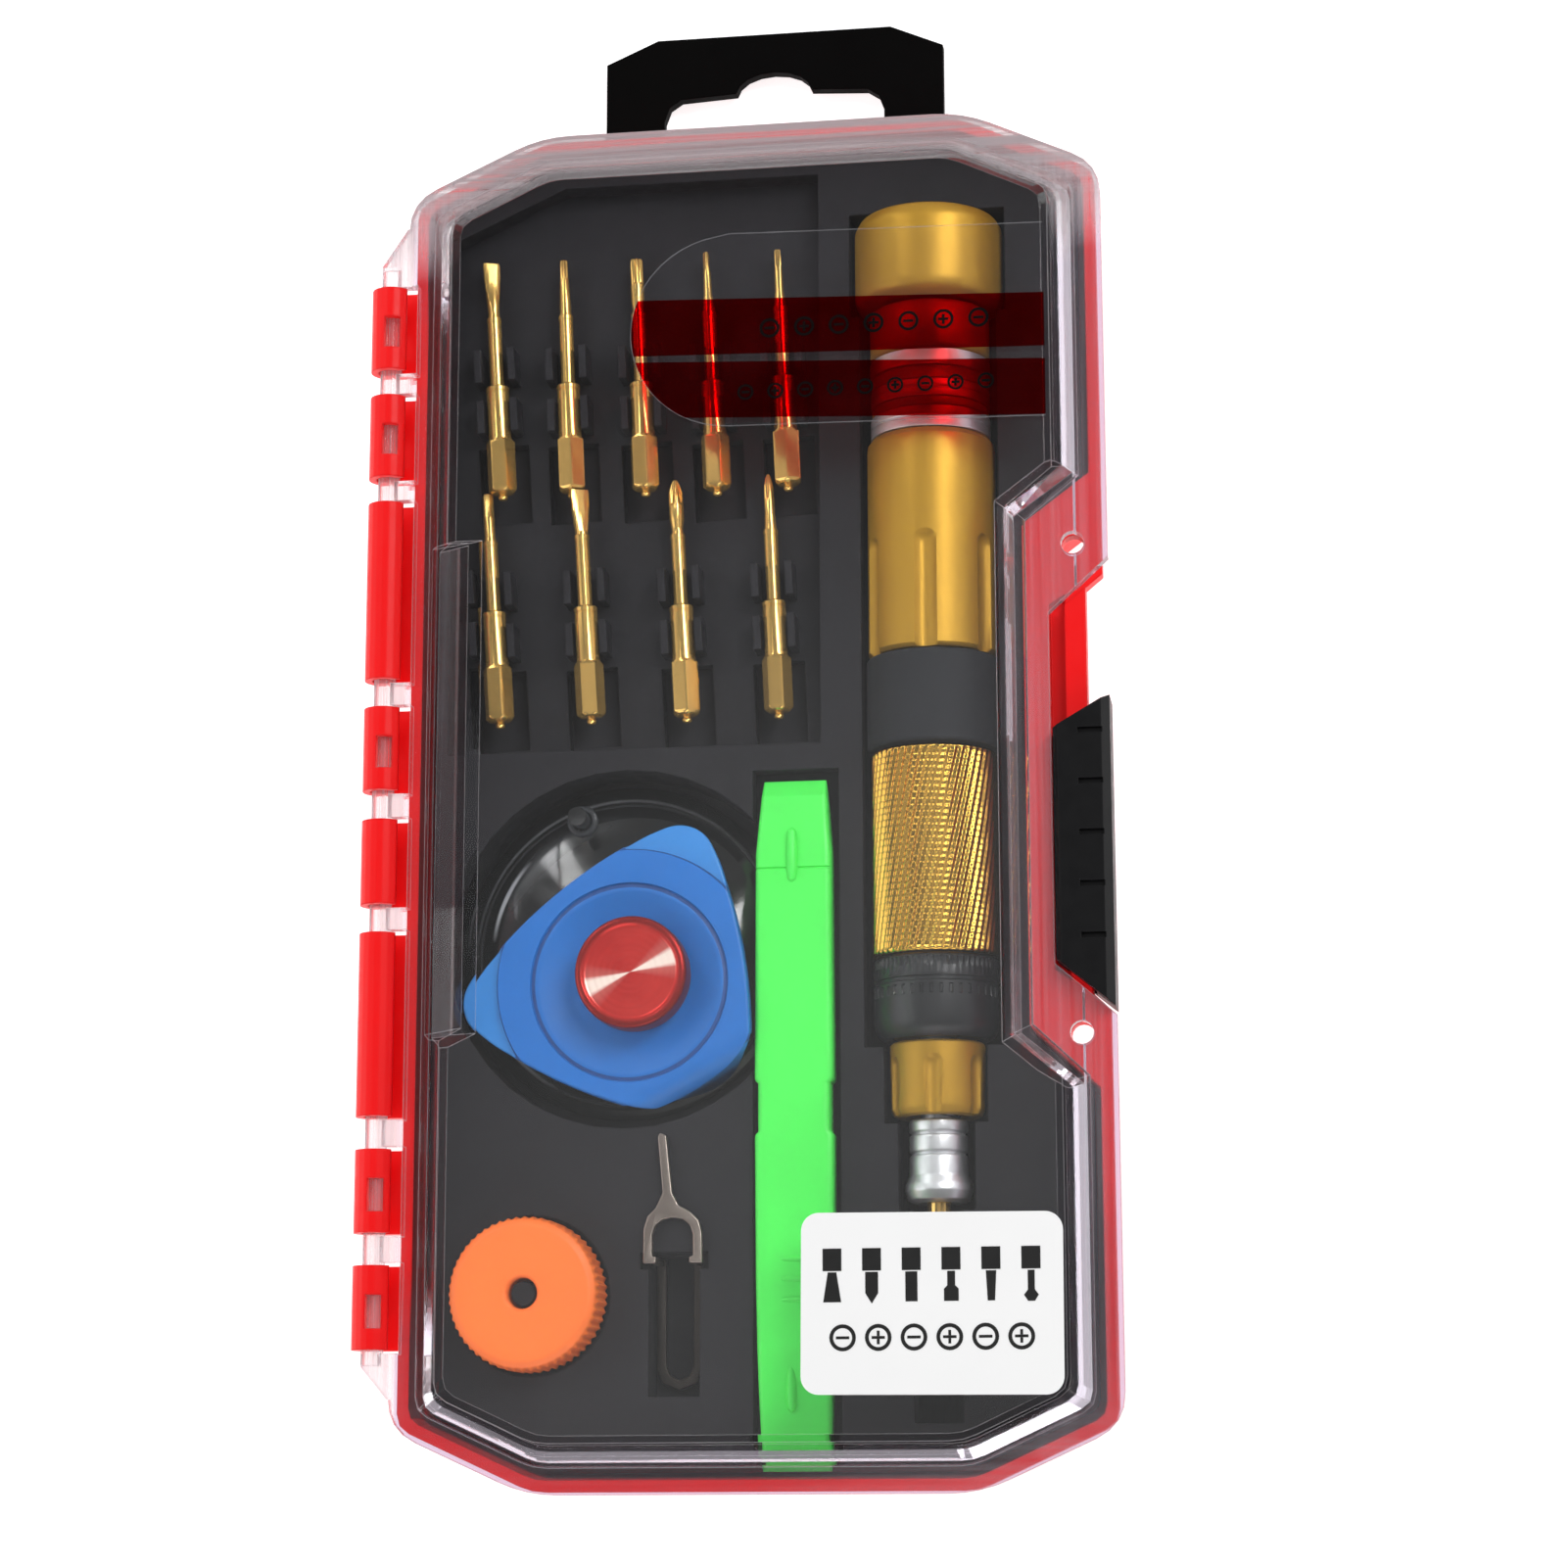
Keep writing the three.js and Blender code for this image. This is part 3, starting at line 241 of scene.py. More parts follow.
def clear_plastic(name, tint=(0.985, 0.99, 0.99), rough=0.015):
    """Clear moulded plastic: refracts and lets light through to what is under it. A painted milky haze on the side
    walls and flange, laid on by position, stands in for light caught inside the plastic, and painted white highlights
    run along its edges."""
    n = Nodes(name)
    wave = n.noise(55, 2, 0.5)
    rounded = n.round_edges(0.15, 6)
    b = n.bump(wave, 0.05, 0.0006, rounded)
    scratch = n.noise(340, 2, 0.4, n.coords((1, 22, 1), (0, 0, 0.9)))
    rgh = n.span(scratch, 0.70, 0.78, rough, rough + 0.10)
    # painted highlight: white lines along the edges, where the rounded normal leaves the face's own
    geo = n.add("ShaderNodeNewGeometry")
    dot = n.add("ShaderNodeVectorMath", operation="DOT_PRODUCT")
    n.link(rounded, dot.inputs[0])
    n.link(geo.outputs["True Normal"], dot.inputs[1])
    edge = n.span(n.math("SUBTRACT", 1.0, dot.outputs["Value"]), 0.003, 0.022, 0.0, 0.52)
    # walls and flange, where the painted haze goes
    co = n.add("ShaderNodeTexCoord")
    nrm = n.add("ShaderNodeSeparateXYZ")
    n.link(co.outputs["Normal"], nrm.inputs[0])
    pos = n.add("ShaderNodeSeparateXYZ")
    n.link(co.outputs["Object"], pos.inputs[0])
    steep = n.math("ABSOLUTE", nrm.outputs[2])
    wall = n.span(steep, 0.70, 0.97, 1.0, 0.0)
    slope = n.span(steep, 0.93, 0.985, 1.0, 0.0)
    flange = n.span(pos.outputs[2], 23.1 * MM, 23.4 * MM, 1.0, 0.0)
    # painted streaks along the walls, standing in for the light that runs inside them
    along_y = n.noise(1.0, 3, 0.6, n.coords((1100, 14, 500)))
    along_x = n.noise(1.0, 3, 0.6, n.coords((14, 1100, 500)))
    far_top = n.span(pos.outputs[1], 66 * MM, 79 * MM, 0.0, 1.0)
    ends = n.span(n.math("ABSOLUTE", pos.outputs[1]), 72 * MM, 79 * MM, 0.0, 1.0)
    far_left = n.span(pos.outputs[0], -39.2 * MM, -38.6 * MM, 1.0, 0.0)
    hinge = n.span(pos.outputs[0], -43.4 * MM, -42.8 * MM, 1.0, 0.0)
    streak = n.mix(ends, along_y, along_x)
    body = n.math("MULTIPLY", wall, n.math("MAXIMUM", n.math("MULTIPLY", far_top, 0.40), n.math("MULTIPLY", far_left, 0.03)))
    # painted haze: strongest on the strip of flange beside the catch, next to the wall
    catch_side = n.math("MULTIPLY", n.span(pos.outputs[0], 33 * MM, 34 * MM, 0.0, 1.0), n.span(pos.outputs[0], 37.6 * MM, 38.4 * MM, 0.03, 0.0))
    rim = n.math("MULTIPLY", flange, n.math("ADD", n.math("ADD", n.math("MULTIPLY", far_top, 0.75), n.math("MULTIPLY", hinge, 0.32)), n.span(pos.outputs[0], 0.0, 30 * MM, 0.02, 0.08)))
    rim = n.math("ADD", rim, n.math("MULTIPLY", flange, catch_side))
    painted_haze = n.math("MULTIPLY", n.math("MAXIMUM", body, rim), n.span(streak, 0.38, 0.62, 0.35, 1.35))
    edge = n.math("MULTIPLY", edge, n.span(nrm.outputs[2], -0.03, -0.3, 1.0, 0.12))
    edge = n.math("MULTIPLY", edge, n.span(pos.outputs[0], 30 * MM, 33 * MM, 1.0, 0.7))
    painted_haze = n.math("MAXIMUM", painted_haze, edge, True)
    deep = n.math("MULTIPLY", flange, n.math("SUBTRACT", 1.0, n.math("MAXIMUM", far_top, hinge)))
    col = n.mix(deep, tint, (0.60, 0.52, 0.66))
    p = n.principled(Base_Color=col, Roughness=rgh, IOR=1.47, Transmission_Weight=1.0, Normal=b)
    # the painted haze is a white diffuse and translucent layer, paler at the far end
    milk = n.add("ShaderNodeBsdfDiffuse")
    n.link(n.mix(far_top, (0.80, 0.76, 0.80), (0.52, 0.47, 0.49)), milk.inputs["Color"])
    through = n.add("ShaderNodeBsdfTranslucent")
    n.link(n.mix(far_top, (0.80, 0.76, 0.80), (0.52, 0.47, 0.49)), through.inputs["Color"])
    soft = n.add("ShaderNodeMixShader")
    soft.inputs[0].default_value = 0.4
    n.link(milk.outputs[0], soft.inputs[1])
    n.link(through.outputs[0], soft.inputs[2])
    # the sloping walls are thin: most of the light goes straight through them
    thin = n.add("ShaderNodeBsdfTransparent")
    thin.inputs["Color"].default_value = (0.93, 0.93, 0.94, 1)
    see = n.math("MULTIPLY", n.math("MULTIPLY", slope, n.math("SUBTRACT", 1.0, flange)), n.span(far_top, 0.0, 1.0, 0.93, 0.50))
    # the flange along the hinge side is as thin, between the hinge rod and the wall
    left = n.math("MULTIPLY", n.span(pos.outputs[0], -36 * MM, -34 * MM, 1.0, 0.0), n.math("SUBTRACT", 1.0, hinge))
    left = n.math("MULTIPLY", left, n.span(n.math("ABSOLUTE", pos.outputs[1]), 58 * MM, 66 * MM, 0.80, 0.0))
    see = n.math("MAXIMUM", see, n.math("MULTIPLY", flange, left))
    walls = n.add("ShaderNodeMixShader")
    n.link(see, walls.inputs[0])
    n.link(p.outputs[0], walls.inputs[1])
    n.link(thin.outputs[0], walls.inputs[2])
    body_mix = n.add("ShaderNodeMixShader")
    n.link(painted_haze, body_mix.inputs[0])
    n.link(walls.outputs[0], body_mix.inputs[1])
    n.link(soft.outputs[0], body_mix.inputs[2])
    tr = n.add("ShaderNodeBsdfTransparent")
    tr.inputs["Color"].default_value = (0.97, 0.975, 0.975, 1)
    lp = n.add("ShaderNodeLightPath")
    mx = n.add("ShaderNodeMixShader")
    n.link(lp.outputs["Is Shadow Ray"], mx.inputs[0])
    n.link(body_mix.outputs[0], mx.inputs[1])
    n.link(tr.outputs[0], mx.inputs[2])
    return n.finish(mx.outputs[0])


def film(name, tint, body, solid_part, rough=0.15, vary=0.05):
    """Printed or plain transparent film: mostly see-through, part ink."""
    n = Nodes(name)
    v = n.span(n.noise(160, 3, 0.6), 0.3, 0.7, -vary, vary)
    tr = n.add("ShaderNodeBsdfTransparent")
    tr.inputs["Color"].default_value = (*tint, 1)
    p = n.principled(Base_Color=n.mix(n.span(n.noise(900, 3, 0.6), 0.4, 0.6), scaled(body, 0.92), scaled(body, 1.08)),
                     Roughness=rough, Specular_IOR_Level=0.4)
    mx = n.add("ShaderNodeMixShader")
    n.link(n.math("ADD", v, solid_part, True), mx.inputs[0])
    n.link(tr.outputs[0], mx.inputs[1])
    n.link(p.outputs[0], mx.inputs[2])
    return n.finish(mx.outputs[0])


def inner_wall_painted_shade(n):
    """1 on the case's walls that face inwards above the tray, 0 elsewhere: where the red is darkened as painted shade.
    """
    co = n.add("ShaderNodeTexCoord")
    nrm = n.add("ShaderNodeSeparateXYZ")
    n.link(co.outputs["Normal"], nrm.inputs[0])
    pos = n.add("ShaderNodeSeparateXYZ")
    n.link(co.outputs["Object"], pos.inputs[0])
    inward = n.math("ADD", n.math("MULTIPLY", nrm.outputs[0], pos.outputs[0]), n.math("MULTIPLY", nrm.outputs[1], pos.outputs[1]))
    long_side = n.span(n.math("ABSOLUTE", nrm.outputs[0]), 0.6, 0.9)
    high = n.span(pos.outputs[2], 16.6 * MM, 17.2 * MM)
    near = n.span(n.math("ABSOLUTE", pos.outputs[0]), 41.8 * MM, 42.1 * MM, 1.0, 0.0)
    return n.math("MULTIPLY", n.math("MULTIPLY", n.math("MULTIPLY", n.span(inward, -0.001, -0.004), high), near), n.span(long_side, 0.0, 1.0, 0.45, 0.95))


def sunk(n):
    """The corner that hangs into the pocket lies in shade."""
    co = n.add("ShaderNodeTexCoord")
    pos = n.add("ShaderNodeSeparateXYZ")
    n.link(co.outputs["Object"], pos.inputs[0])
    return n.span(pos.outputs[2], 15.6 * MM, 18.9 * MM, 0.92, 0.0)


# painted shade: the orange's side faces darker than its top
def side_faces_painted_shade(n):
    co = n.add("ShaderNodeTexCoord")
    nrm = n.add("ShaderNodeSeparateXYZ")
    n.link(co.outputs["Normal"], nrm.inputs[0])
    return n.span(n.math("ABSOLUTE", nrm.outputs[2]), 0.2, 0.8, 0.22, 0.0)


# ------------------------------------------------------------------ materials
# painted shade darkens the red on the inner walls above the tray
RED = plastic("case_red", srgb(250, 10, 14), rough=0.38, grain_h=0.04, spread=0.02, coat=0.0, sss=0.05, spec=0.25, edge=0.35, shade=inner_wall_painted_shade)
CLEAR = clear_plastic("clear_lid")
BLACK_CATCH = plastic("catch_black", srgb(11, 11, 13), rough=0.40, grain_h=0.16, grain=4200, spread=0.12, spec=0.20, edge=0.2)
BLACK_TAB = plastic("tab_black", srgb(6, 6, 6), rough=0.6, grain_h=0.1, spread=0.15, spec=0.04, edge=0.25)
TRAY = plastic("tray_charcoal", srgb(31, 30, 34), rough=0.66, grain=3800, grain_h=0.12, spread=0.06, spec=0.20, scuff=0.0, edge=0.3)
WHITE = plastic("label_white", srgb(254, 254, 254), rough=0.5, grain_h=0.03, spread=0.01)
INK = plastic("label_ink", srgb(12, 12, 12), rough=0.5, grain_h=0.03, spread=0.05)
INK_FILM = plastic("film_ink", srgb(6, 4, 4), rough=0.6, grain_h=0.03, spread=0.05, spec=0.06)
FILM_RED = film("film_red", (0.78, 0.035, 0.045), srgb(90, 2, 8), 0.09)
FILM_CLEAR = film("film_clear", (0.975, 0.975, 0.98), srgb(200, 200, 205), 0.008, vary=0.002)
FILM_EDGE = film("film_edge", (0.9, 0.9, 0.9), srgb(215, 215, 220), 0.10, vary=0.04)
GOLD = metal("gold_anodised", srgb(178, 135, 34), rough=0.45, metallic=0.6, line_scale=4200, line_h=0.008, spread=0.03, grit=0.02)
GOLD_KNURL = metal("gold_knurled", srgb(218, 172, 76), rough=0.20, line_scale=4200, line_h=0.01, spread=0.03)
SILVER = metal("silver_turned", srgb(228, 229, 232), rough=0.42, line_scale=5200, line_h=0.03, spread=0.03)
SLEEVE = plastic("sleeve_black", srgb(34, 35, 39), rough=0.72, grain=5200, grain_h=0.30, spread=0.06, spec=0.25)
COLLAR = plastic("collar_black", srgb(24, 25, 28), rough=0.34, grain=5200, grain_h=0.12, spread=0.1)
BIT = metal("bit_gold", srgb(230, 188, 108), rough=0.16, lines="r", line_h=0.002, spread=0.05, grit=0.02, metallic=0.84)
BRASS = metal("washer_brass", srgb(190, 160, 90), rough=0.3, spread=0.05)
MAGNET = metal("magnet_grey", srgb(120, 120, 124), rough=0.4, lines="r", spread=0.1)
STEEL = metal("spring_steel", srgb(175, 177, 180), rough=0.25, lines="r", spread=0.05)
# the pin's loop is darkened with painted shade where it lies deep in the slot
PIN = metal("pin_steel", srgb(158, 146, 138), rough=0.36, lines="r", line_h=0.2, spread=0.16, painted_shade_below=(13.2, 17.0))
def cup_painted_highlights(n):
    """Painted highlights: a paler line round the cup's rim and streaks of reflected light on the dome."""
    co = n.add("ShaderNodeTexCoord")
    pos = n.add("ShaderNodeSeparateXYZ")
    n.link(co.outputs["Object"], pos.inputs[0])
    x = n.math("SUBTRACT", pos.outputs[0], -17.0 * MM)
    y = n.math("SUBTRACT", pos.outputs[1], -18.5 * MM)
    r = n.math("SQRT", n.math("ADD", n.math("MULTIPLY", x, x), n.math("MULTIPLY", y, y)))
    a = n.math("ARCTAN2", y, x)

    def near(v, c, w):
        return n.span(n.math("ABSOLUTE", n.math("SUBTRACT", v, c)), 0.0, w, 1.0, 0.0)
    line = n.math("MULTIPLY", near(r, 19.05 * MM, 0.34 * MM), n.math("ADD", n.math("MULTIPLY", near(a, 1.9, 1.6), 0.40), 0.07))
    wide = n.math("MULTIPLY", n.math("MULTIPLY", near(r, 15.9 * MM, 1.9 * MM), near(a, 2.25, 0.75)), 0.16)
    thin = n.math("MULTIPLY", n.math("MULTIPLY", near(r, 16.9 * MM, 0.36 * MM), near(a, 2.72, 0.34)), 1.9)
    low = n.math("MULTIPLY", n.math("MULTIPLY", near(r, 18.9 * MM, 0.36 * MM), near(a, -2.45, 0.42)), 1.1)
    return n.math("ADD", n.math("ADD", line, wide), n.math("ADD", thin, low), True)


# painted highlights on the cup, mixed towards pale grey
CUP = plastic("cup_black", srgb(12, 13, 15), rough=0.09, grain_h=0.0, spread=0.1, coat=0.6, spec=0.6, shade=cup_painted_highlights, shade_to=srgb(190, 192, 196))
LUG = plastic("cup_lug", srgb(62, 64, 68), rough=0.22, grain_h=0.0, spread=0.1, coat=0.3, spec=0.5)
BLUE = plastic("pick_blue", srgb(13, 104, 186), rough=0.42, grain=4600, grain_h=0.10, spread=0.04, sss=0.1, shade=sunk)
BLUE_TIP = plastic("pick_blue_tip", srgb(42, 128, 204), rough=0.42, grain=4600, grain_h=0.10, spread=0.04, sss=0.1, shade=sunk)
BLUE_LINE = plastic("pick_blue_line", srgb(18, 70, 136), rough=0.5, grain_h=0.05, spread=0.04)
GREEN = plastic("spudger_green", srgb(72, 236, 84), rough=0.42, grain=4600, grain_h=0.10, spread=0.04, sss=0.1)
ORANGE = plastic("body_orange", srgb(252, 116, 36), rough=0.50, grain=4600, grain_h=0.10, spread=0.03, sss=0.1, shade=side_faces_painted_shade)


def knob_material():
    """Spun red anodised face: rings round the knob's own axis, and a painted highlight fan of two narrow wedges through
    the middle.
    """
    n = Nodes("knob_red")
    kx, ky = -14.5 * MM, -22.8 * MM
    vec = n.coords(loc=(-kx, -ky, 0))
    sep = n.add("ShaderNodeSeparateXYZ")
    n.link(vec, sep.inputs[0])
    r2 = n.math("ADD", n.math("MULTIPLY", sep.outputs[0], sep.outputs[0]), n.math("MULTIPLY", sep.outputs[1], sep.outputs[1]))
    r = n.math("SQRT", r2)
    comb = n.add("ShaderNodeCombineXYZ")
    n.link(n.math("MULTIPLY", r, 4200), comb.inputs[0])
    rings = n.noise(1.0, 4, 0.7, comb.outputs[0])
    col = n.ramp(n.noise(200, 3, 0.6), [(0.3, srgb(214, 44, 40)), (0.7, srgb(232, 62, 54))])
    col = n.mix(n.span(rings, 0.35, 0.65, 0, 0.3), col, srgb(150, 24, 24))
    # painted highlight: two narrow wedges of light, as spun rings would throw them
    a = math.radians(19)
    along = n.math("ADD", n.math("MULTIPLY", sep.outputs[0], math.cos(a)), n.math("MULTIPLY", sep.outputs[1], math.sin(a)))
    c = n.math("DIVIDE", n.math("ABSOLUTE", along), n.math("MAXIMUM", r, 1e-5))
    painted_wedge = n.span(c, 0.972, 0.997, 0.0, 1.0)
    soft = n.span(c, 0.86, 1.0, 0.0, 0.18)
    inside = n.span(r, 5.5 * MM, 5.75 * MM, 1.0, 0.0)
    col = n.mix(n.span(r, 5.6 * MM, 6.1 * MM, 0.0, 0.75), col, srgb(120, 16, 16))
    painted_fan = n.math("MULTIPLY", n.math("MULTIPLY", n.math("ADD", painted_wedge, soft, True), inside), n.span(rings, 0.3, 0.7, 1.0, 0.86))
    col = n.mix(painted_fan, col, (1.0, 0.86, 0.76))
    tan = n.add("ShaderNodeTangent", direction_type="RADIAL", axis="Z")
    b = n.bump(rings, 0.08, 0.00002)
    p = n.principled(Base_Color=col, Metallic=n.span(painted_fan, 0.0, 1.0, 0.75, 0.15), Roughness=n.span(rings, 0.3, 0.7, 0.30, 0.38), Anisotropic=0.0,
                     Normal=b, Tangent=tan.outputs[0])
    return n.finish(p.outputs[0])


KNOB = knob_material()


# ------------------------------------------------------------------ mesh helpers
def new_object(name, bm, mat, body, replaces=(), bevel=0.0, segments=2, angle=32, smooth=32, mats=None):
    bmesh.ops.recalc_face_normals(bm, faces=bm.faces)
    mesh = bpy.data.meshes.new(name)
    bm.to_mesh(mesh)
    bm.free()
    ob = bpy.data.objects.new(name, mesh)
    scene.collection.objects.link(ob)
    for mt in (mats or [mat]):
        mesh.materials.append(mt)
    for p in mesh.polygons:
        p.use_smooth = True
    if bevel:
        md = ob.modifiers.new("edges", "BEVEL")
        md.width = bevel * MM
        md.segments = segments
        md.limit_method = "ANGLE"
        md.angle_limit = math.radians(angle)
        md.harden_normals = True
        md.use_clamp_overlap = True
        md.miter_outer = "MITER_ARC" if segments > 1 else "MITER_SHARP"
    else:
        mesh.set_sharp_from_angle(angle=math.radians(smooth))
    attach(ob, body)
    if replaces:
        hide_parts(*replaces)
    return ob


def bm_from(verts, faces):
    bm = bmesh.new()
    vs = [bm.verts.new((x * MM, y * MM, z * MM)) for x, y, z in verts]
    for f in faces:
        try:
            bm.faces.new([vs[i] for i in f])
        except ValueError:
            pass
    bm.verts.index_update()
    return bm


def loft(rings, close=False):
    """Skin over rings of equal point count; the ends are capped unless close joins the last ring to the first."""
    n = len(rings[0])
    verts = [p for r in rings for p in r]
    faces = []
    k = len(rings)
    for i in range(k if close else k - 1):
        a, b = i * n, ((i + 1) % k) * n
        for j in range(n):
            j2 = (j + 1) % n
            faces.append((a + j, a + j2, b + j2, b + j))
    if not close:
        faces.append(tuple(range(n)))
        faces.append(tuple(range((k - 1) * n, k * n)))
    bm = bm_from(verts, faces)
    bmesh.ops.remove_doubles(bm, verts=bm.verts, dist=1e-7)
    bmesh.ops.dissolve_degenerate(bm, edges=bm.edges, dist=1e-7)
    return bm


def arc_profile(points, radius=0.25, steps=3):
    """Rounds the corners of an (r, y) profile; points on the axis stay."""
    out = []
    n = len(points)
    for i, q in enumerate(points):
        if i in (0, n - 1) or q[0] < 1e-6:
            out.append(q)
            continue
        p, s = points[i - 1], points[i + 1]
        l1, l2 = math.dist(p, q), math.dist(s, q)
        t = min(radius, l1 * 0.45, l2 * 0.45)
        e = (q[0] + (p[0] - q[0]) / l1 * t, q[1] + (p[1] - q[1]) / l1 * t)
        f = (q[0] + (s[0] - q[0]) / l2 * t, q[1] + (s[1] - q[1]) / l2 * t)
        for k in range(steps + 1):
            u = k / steps
            w = 1 - u
            out.append((w * w * e[0] + 2 * w * u * q[0] + u * u * f[0], w * w * e[1] + 2 * w * u * q[1] + u * u * f[1]))
    return out


def turn_y(profile, x0, z0, n=96, shape=None, close=False):
    """Turned about the line X=x0, Z=z0. shape(theta, r, y) may change the radius."""
    rings = []
    for r, y in profile:
        r = max(r, 1e-4)
        ring = []
        for j in range(n):
            t = TAU * j / n
            rr = shape(t, r, y) if shape else r
            ring.append((x0 + rr * math.sin(t), y, z0 + rr * math.cos(t)))
        rings.append(ring)
    return loft(rings, close)


def turn_z(profile, x0, y0, n=96, shape=None, close=False, lean=None):
    rings = []
    for r, z in profile:
        r = max(r, 1e-4)
        dx, dy = lean(z) if lean else (0, 0)
        ring = []
        for j in range(n):
            t = TAU * j / n
            rr = shape(t, r, z) if shape else r
            ring.append((x0 + dx + rr * math.cos(t), y0 + dy + rr * math.sin(t), z))
        rings.append(ring)
    return loft(rings, close)


def from_cad(node, mat, body, bevel=0.2, segments=2, angle=30, flat=1.0, name=None, edit=None):
    """A refined copy of a CAD node: coplanar facets joined, edges rounded."""
    src = NODES[node]
    bm = bmesh.new()
    bm.from_mesh(src.data)
    bmesh.ops.remove_doubles(bm, verts=bm.verts, dist=2e-6)
    bmesh.ops.dissolve_limit(bm, angle_limit=math.radians(flat), verts=bm.verts, edges=bm.edges, use_dissolve_boundaries=False)
    if edit:
        edit(bm)
    return new_object(name or node + "_skin", bm, mat, body, (node,), bevel, segments, angle)


def subtract(ob, cutter_bm):
    """Cuts a mesh out of ob, in place."""
    mesh = bpy.data.meshes.new("cutter")
    cutter_bm.to_mesh(mesh)
    cutter_bm.free()
    cut = bpy.data.objects.new("cutter", mesh)
    scene.collection.objects.link(cut)
    md = ob.modifiers.new("cut", "BOOLEAN")
    md.operation = "DIFFERENCE"
    md.solver = "EXACT"
    md.object = cut
    ob.modifiers.move(len(ob.modifiers) - 1, 0)
    dg = bpy.context.evaluated_depsgraph_get()
    hold = [(x.name, x.show_viewport) for x in ob.modifiers]
    for x in ob.modifiers:
        x.show_viewport = x.name == "cut"
    dg.update()
    res = bpy.data.meshes.new_from_object(ob.evaluated_get(dg))
    for nme, v in hold:
        ob.modifiers[nme].show_viewport = v
    ob.modifiers.remove(ob.modifiers["cut"])
    old = ob.data
    ob.data = res
    bpy.data.meshes.remove(old)
    bpy.data.objects.remove(cut)
    bpy.data.meshes.remove(mesh)


def slab(points, z0, z1):
    n = len(points)
    verts = [(x, y, z0) for x, y in points] + [(x, y, z1) for x, y in points]
    faces = [tuple(reversed(range(n))), tuple(range(n, 2 * n))]
    faces += [(i, (i + 1) % n, n + (i + 1) % n, n + i) for i in range(n)]
    return bm_from(verts, faces)


def join(*bms):
    out = bmesh.new()
    for b in bms:
        mesh = bpy.data.meshes.new("t")
        b.to_mesh(mesh)
        b.free()
        out.from_mesh(mesh)
        bpy.data.meshes.remove(mesh)
    return out


# ------------------------------------------------------------------ case
def dress(node, mat):
    """The node's own shape is right: it keeps it and gets the better material."""
    for sl in NODES[node].material_slots:
        sl.link = "OBJECT"
        sl.material = mat


dress("base_shell", RED)
dress("insert_tray", TRAY)
dress("hanger_tab", BLACK_TAB)
dress("latch_slider", BLACK_CATCH)
dress("lid_shell", CLEAR)

# ------------------------------------------------------------------ labels
LID_TOP = 26.4


def round_rect(x0, x1, y0, y1, r, n=8, turn=0.0, c=None):
    out = []
    for cx, cy, a0 in ((x1 - r, y1 - r, 0), (x0 + r, y1 - r, 90), (x0 + r, y0 + r, 180), (x1 - r, y0 + r, 270)):
        for k in range(n + 1):
            a = math.radians(a0 + 90 * k / n)
            out.append((cx + r * math.cos(a), cy + r * math.sin(a)))
    if turn:
        c = c or ((x0 + x1) / 2, (y0 + y1) / 2)
        s, co = math.sin(turn), math.cos(turn)
        out = [(c[0] + (x - c[0]) * co - (y - c[1]) * s, c[1] + (x - c[0]) * s + (y - c[1]) * co) for x, y in out]
    return out


LX, LY, LT = 21.75, -62.85, math.radians(-0.4)
new_object("lid_label_sheet", slab(round_rect(LX - 15.3, LX + 15.3, LY - 10.5, LY + 10.5, 2.1, turn=LT), LID_TOP + 0.05, LID_TOP + 0.2),
           WHITE, "lid", ("lid_label",), bevel=0.04)


def ink(name, shapes, mat=INK, z=LID_TOP + 0.215, thick=0.02):
    bms = [slab(s, z, z + thick) for s in shapes]
    return new_object(name, join(*bms), mat, "lid", ())


def disc_shape(cx, cy, r, n=28):
    return [(cx + r * math.cos(TAU * k / n), cy + r * math.sin(TAU * k / n)) for k in range(n)]


def tip_icons():
    """Plain pictures of driver tips: shank and working end."""
    out = []
    for i, kind in enumerate(("flat", "cross", "hex", "star", "square", "ball")):
        x = LX - 11.6 + i * 4.64
        y = LY + 6.4
        w = 0.62
        out.append([(x - 1.1, y), (x - 1.1, y - 2.6), (x + 1.1, y - 2.6), (x + 1.1, y)])
        if kind == "flat":
            out.append([(x - 0.5, y - 2.75), (x - 1.05, y - 6.2), (x + 1.05, y - 6.2), (x + 0.5, y - 2.75)])
        elif kind == "cross":
            out.append([(x - 0.75, y - 2.75), (x - 0.75, y - 5.2), (x, y - 6.4), (x + 0.75, y - 5.2), (x + 0.75, y - 2.75)])
        elif kind == "hex":
            out.append([(x - 0.7, y - 2.75), (x - 0.7, y - 6.2), (x + 0.7, y - 6.2), (x + 0.7, y - 2.75)])
        elif kind == "star":
            out.append([(x - 0.45, y - 2.75), (x - 0.45, y - 4.4), (x - 0.85, y - 4.8), (x - 0.85, y - 6.2), (x + 0.85, y - 6.2), (x + 0.85, y - 4.8), (x + 0.45, y - 4.4), (x + 0.45, y - 2.75)])
        elif kind == "square":
            out.append([(x - 0.6, y - 2.75), (x - 0.42, y - 6.2), (x + 0.42, y - 6.2), (x + 0.6, y - 2.75)])
        else:
            out.append([(x - 0.4, y - 2.75), (x - 0.4, y - 5.0), (x - 0.85, y - 5.6), (x - 0.4, y - 6.3), (x + 0.4, y - 6.3), (x + 0.85, y - 5.6), (x + 0.4, y - 5.0), (x + 0.4, y - 2.75)])
    return out


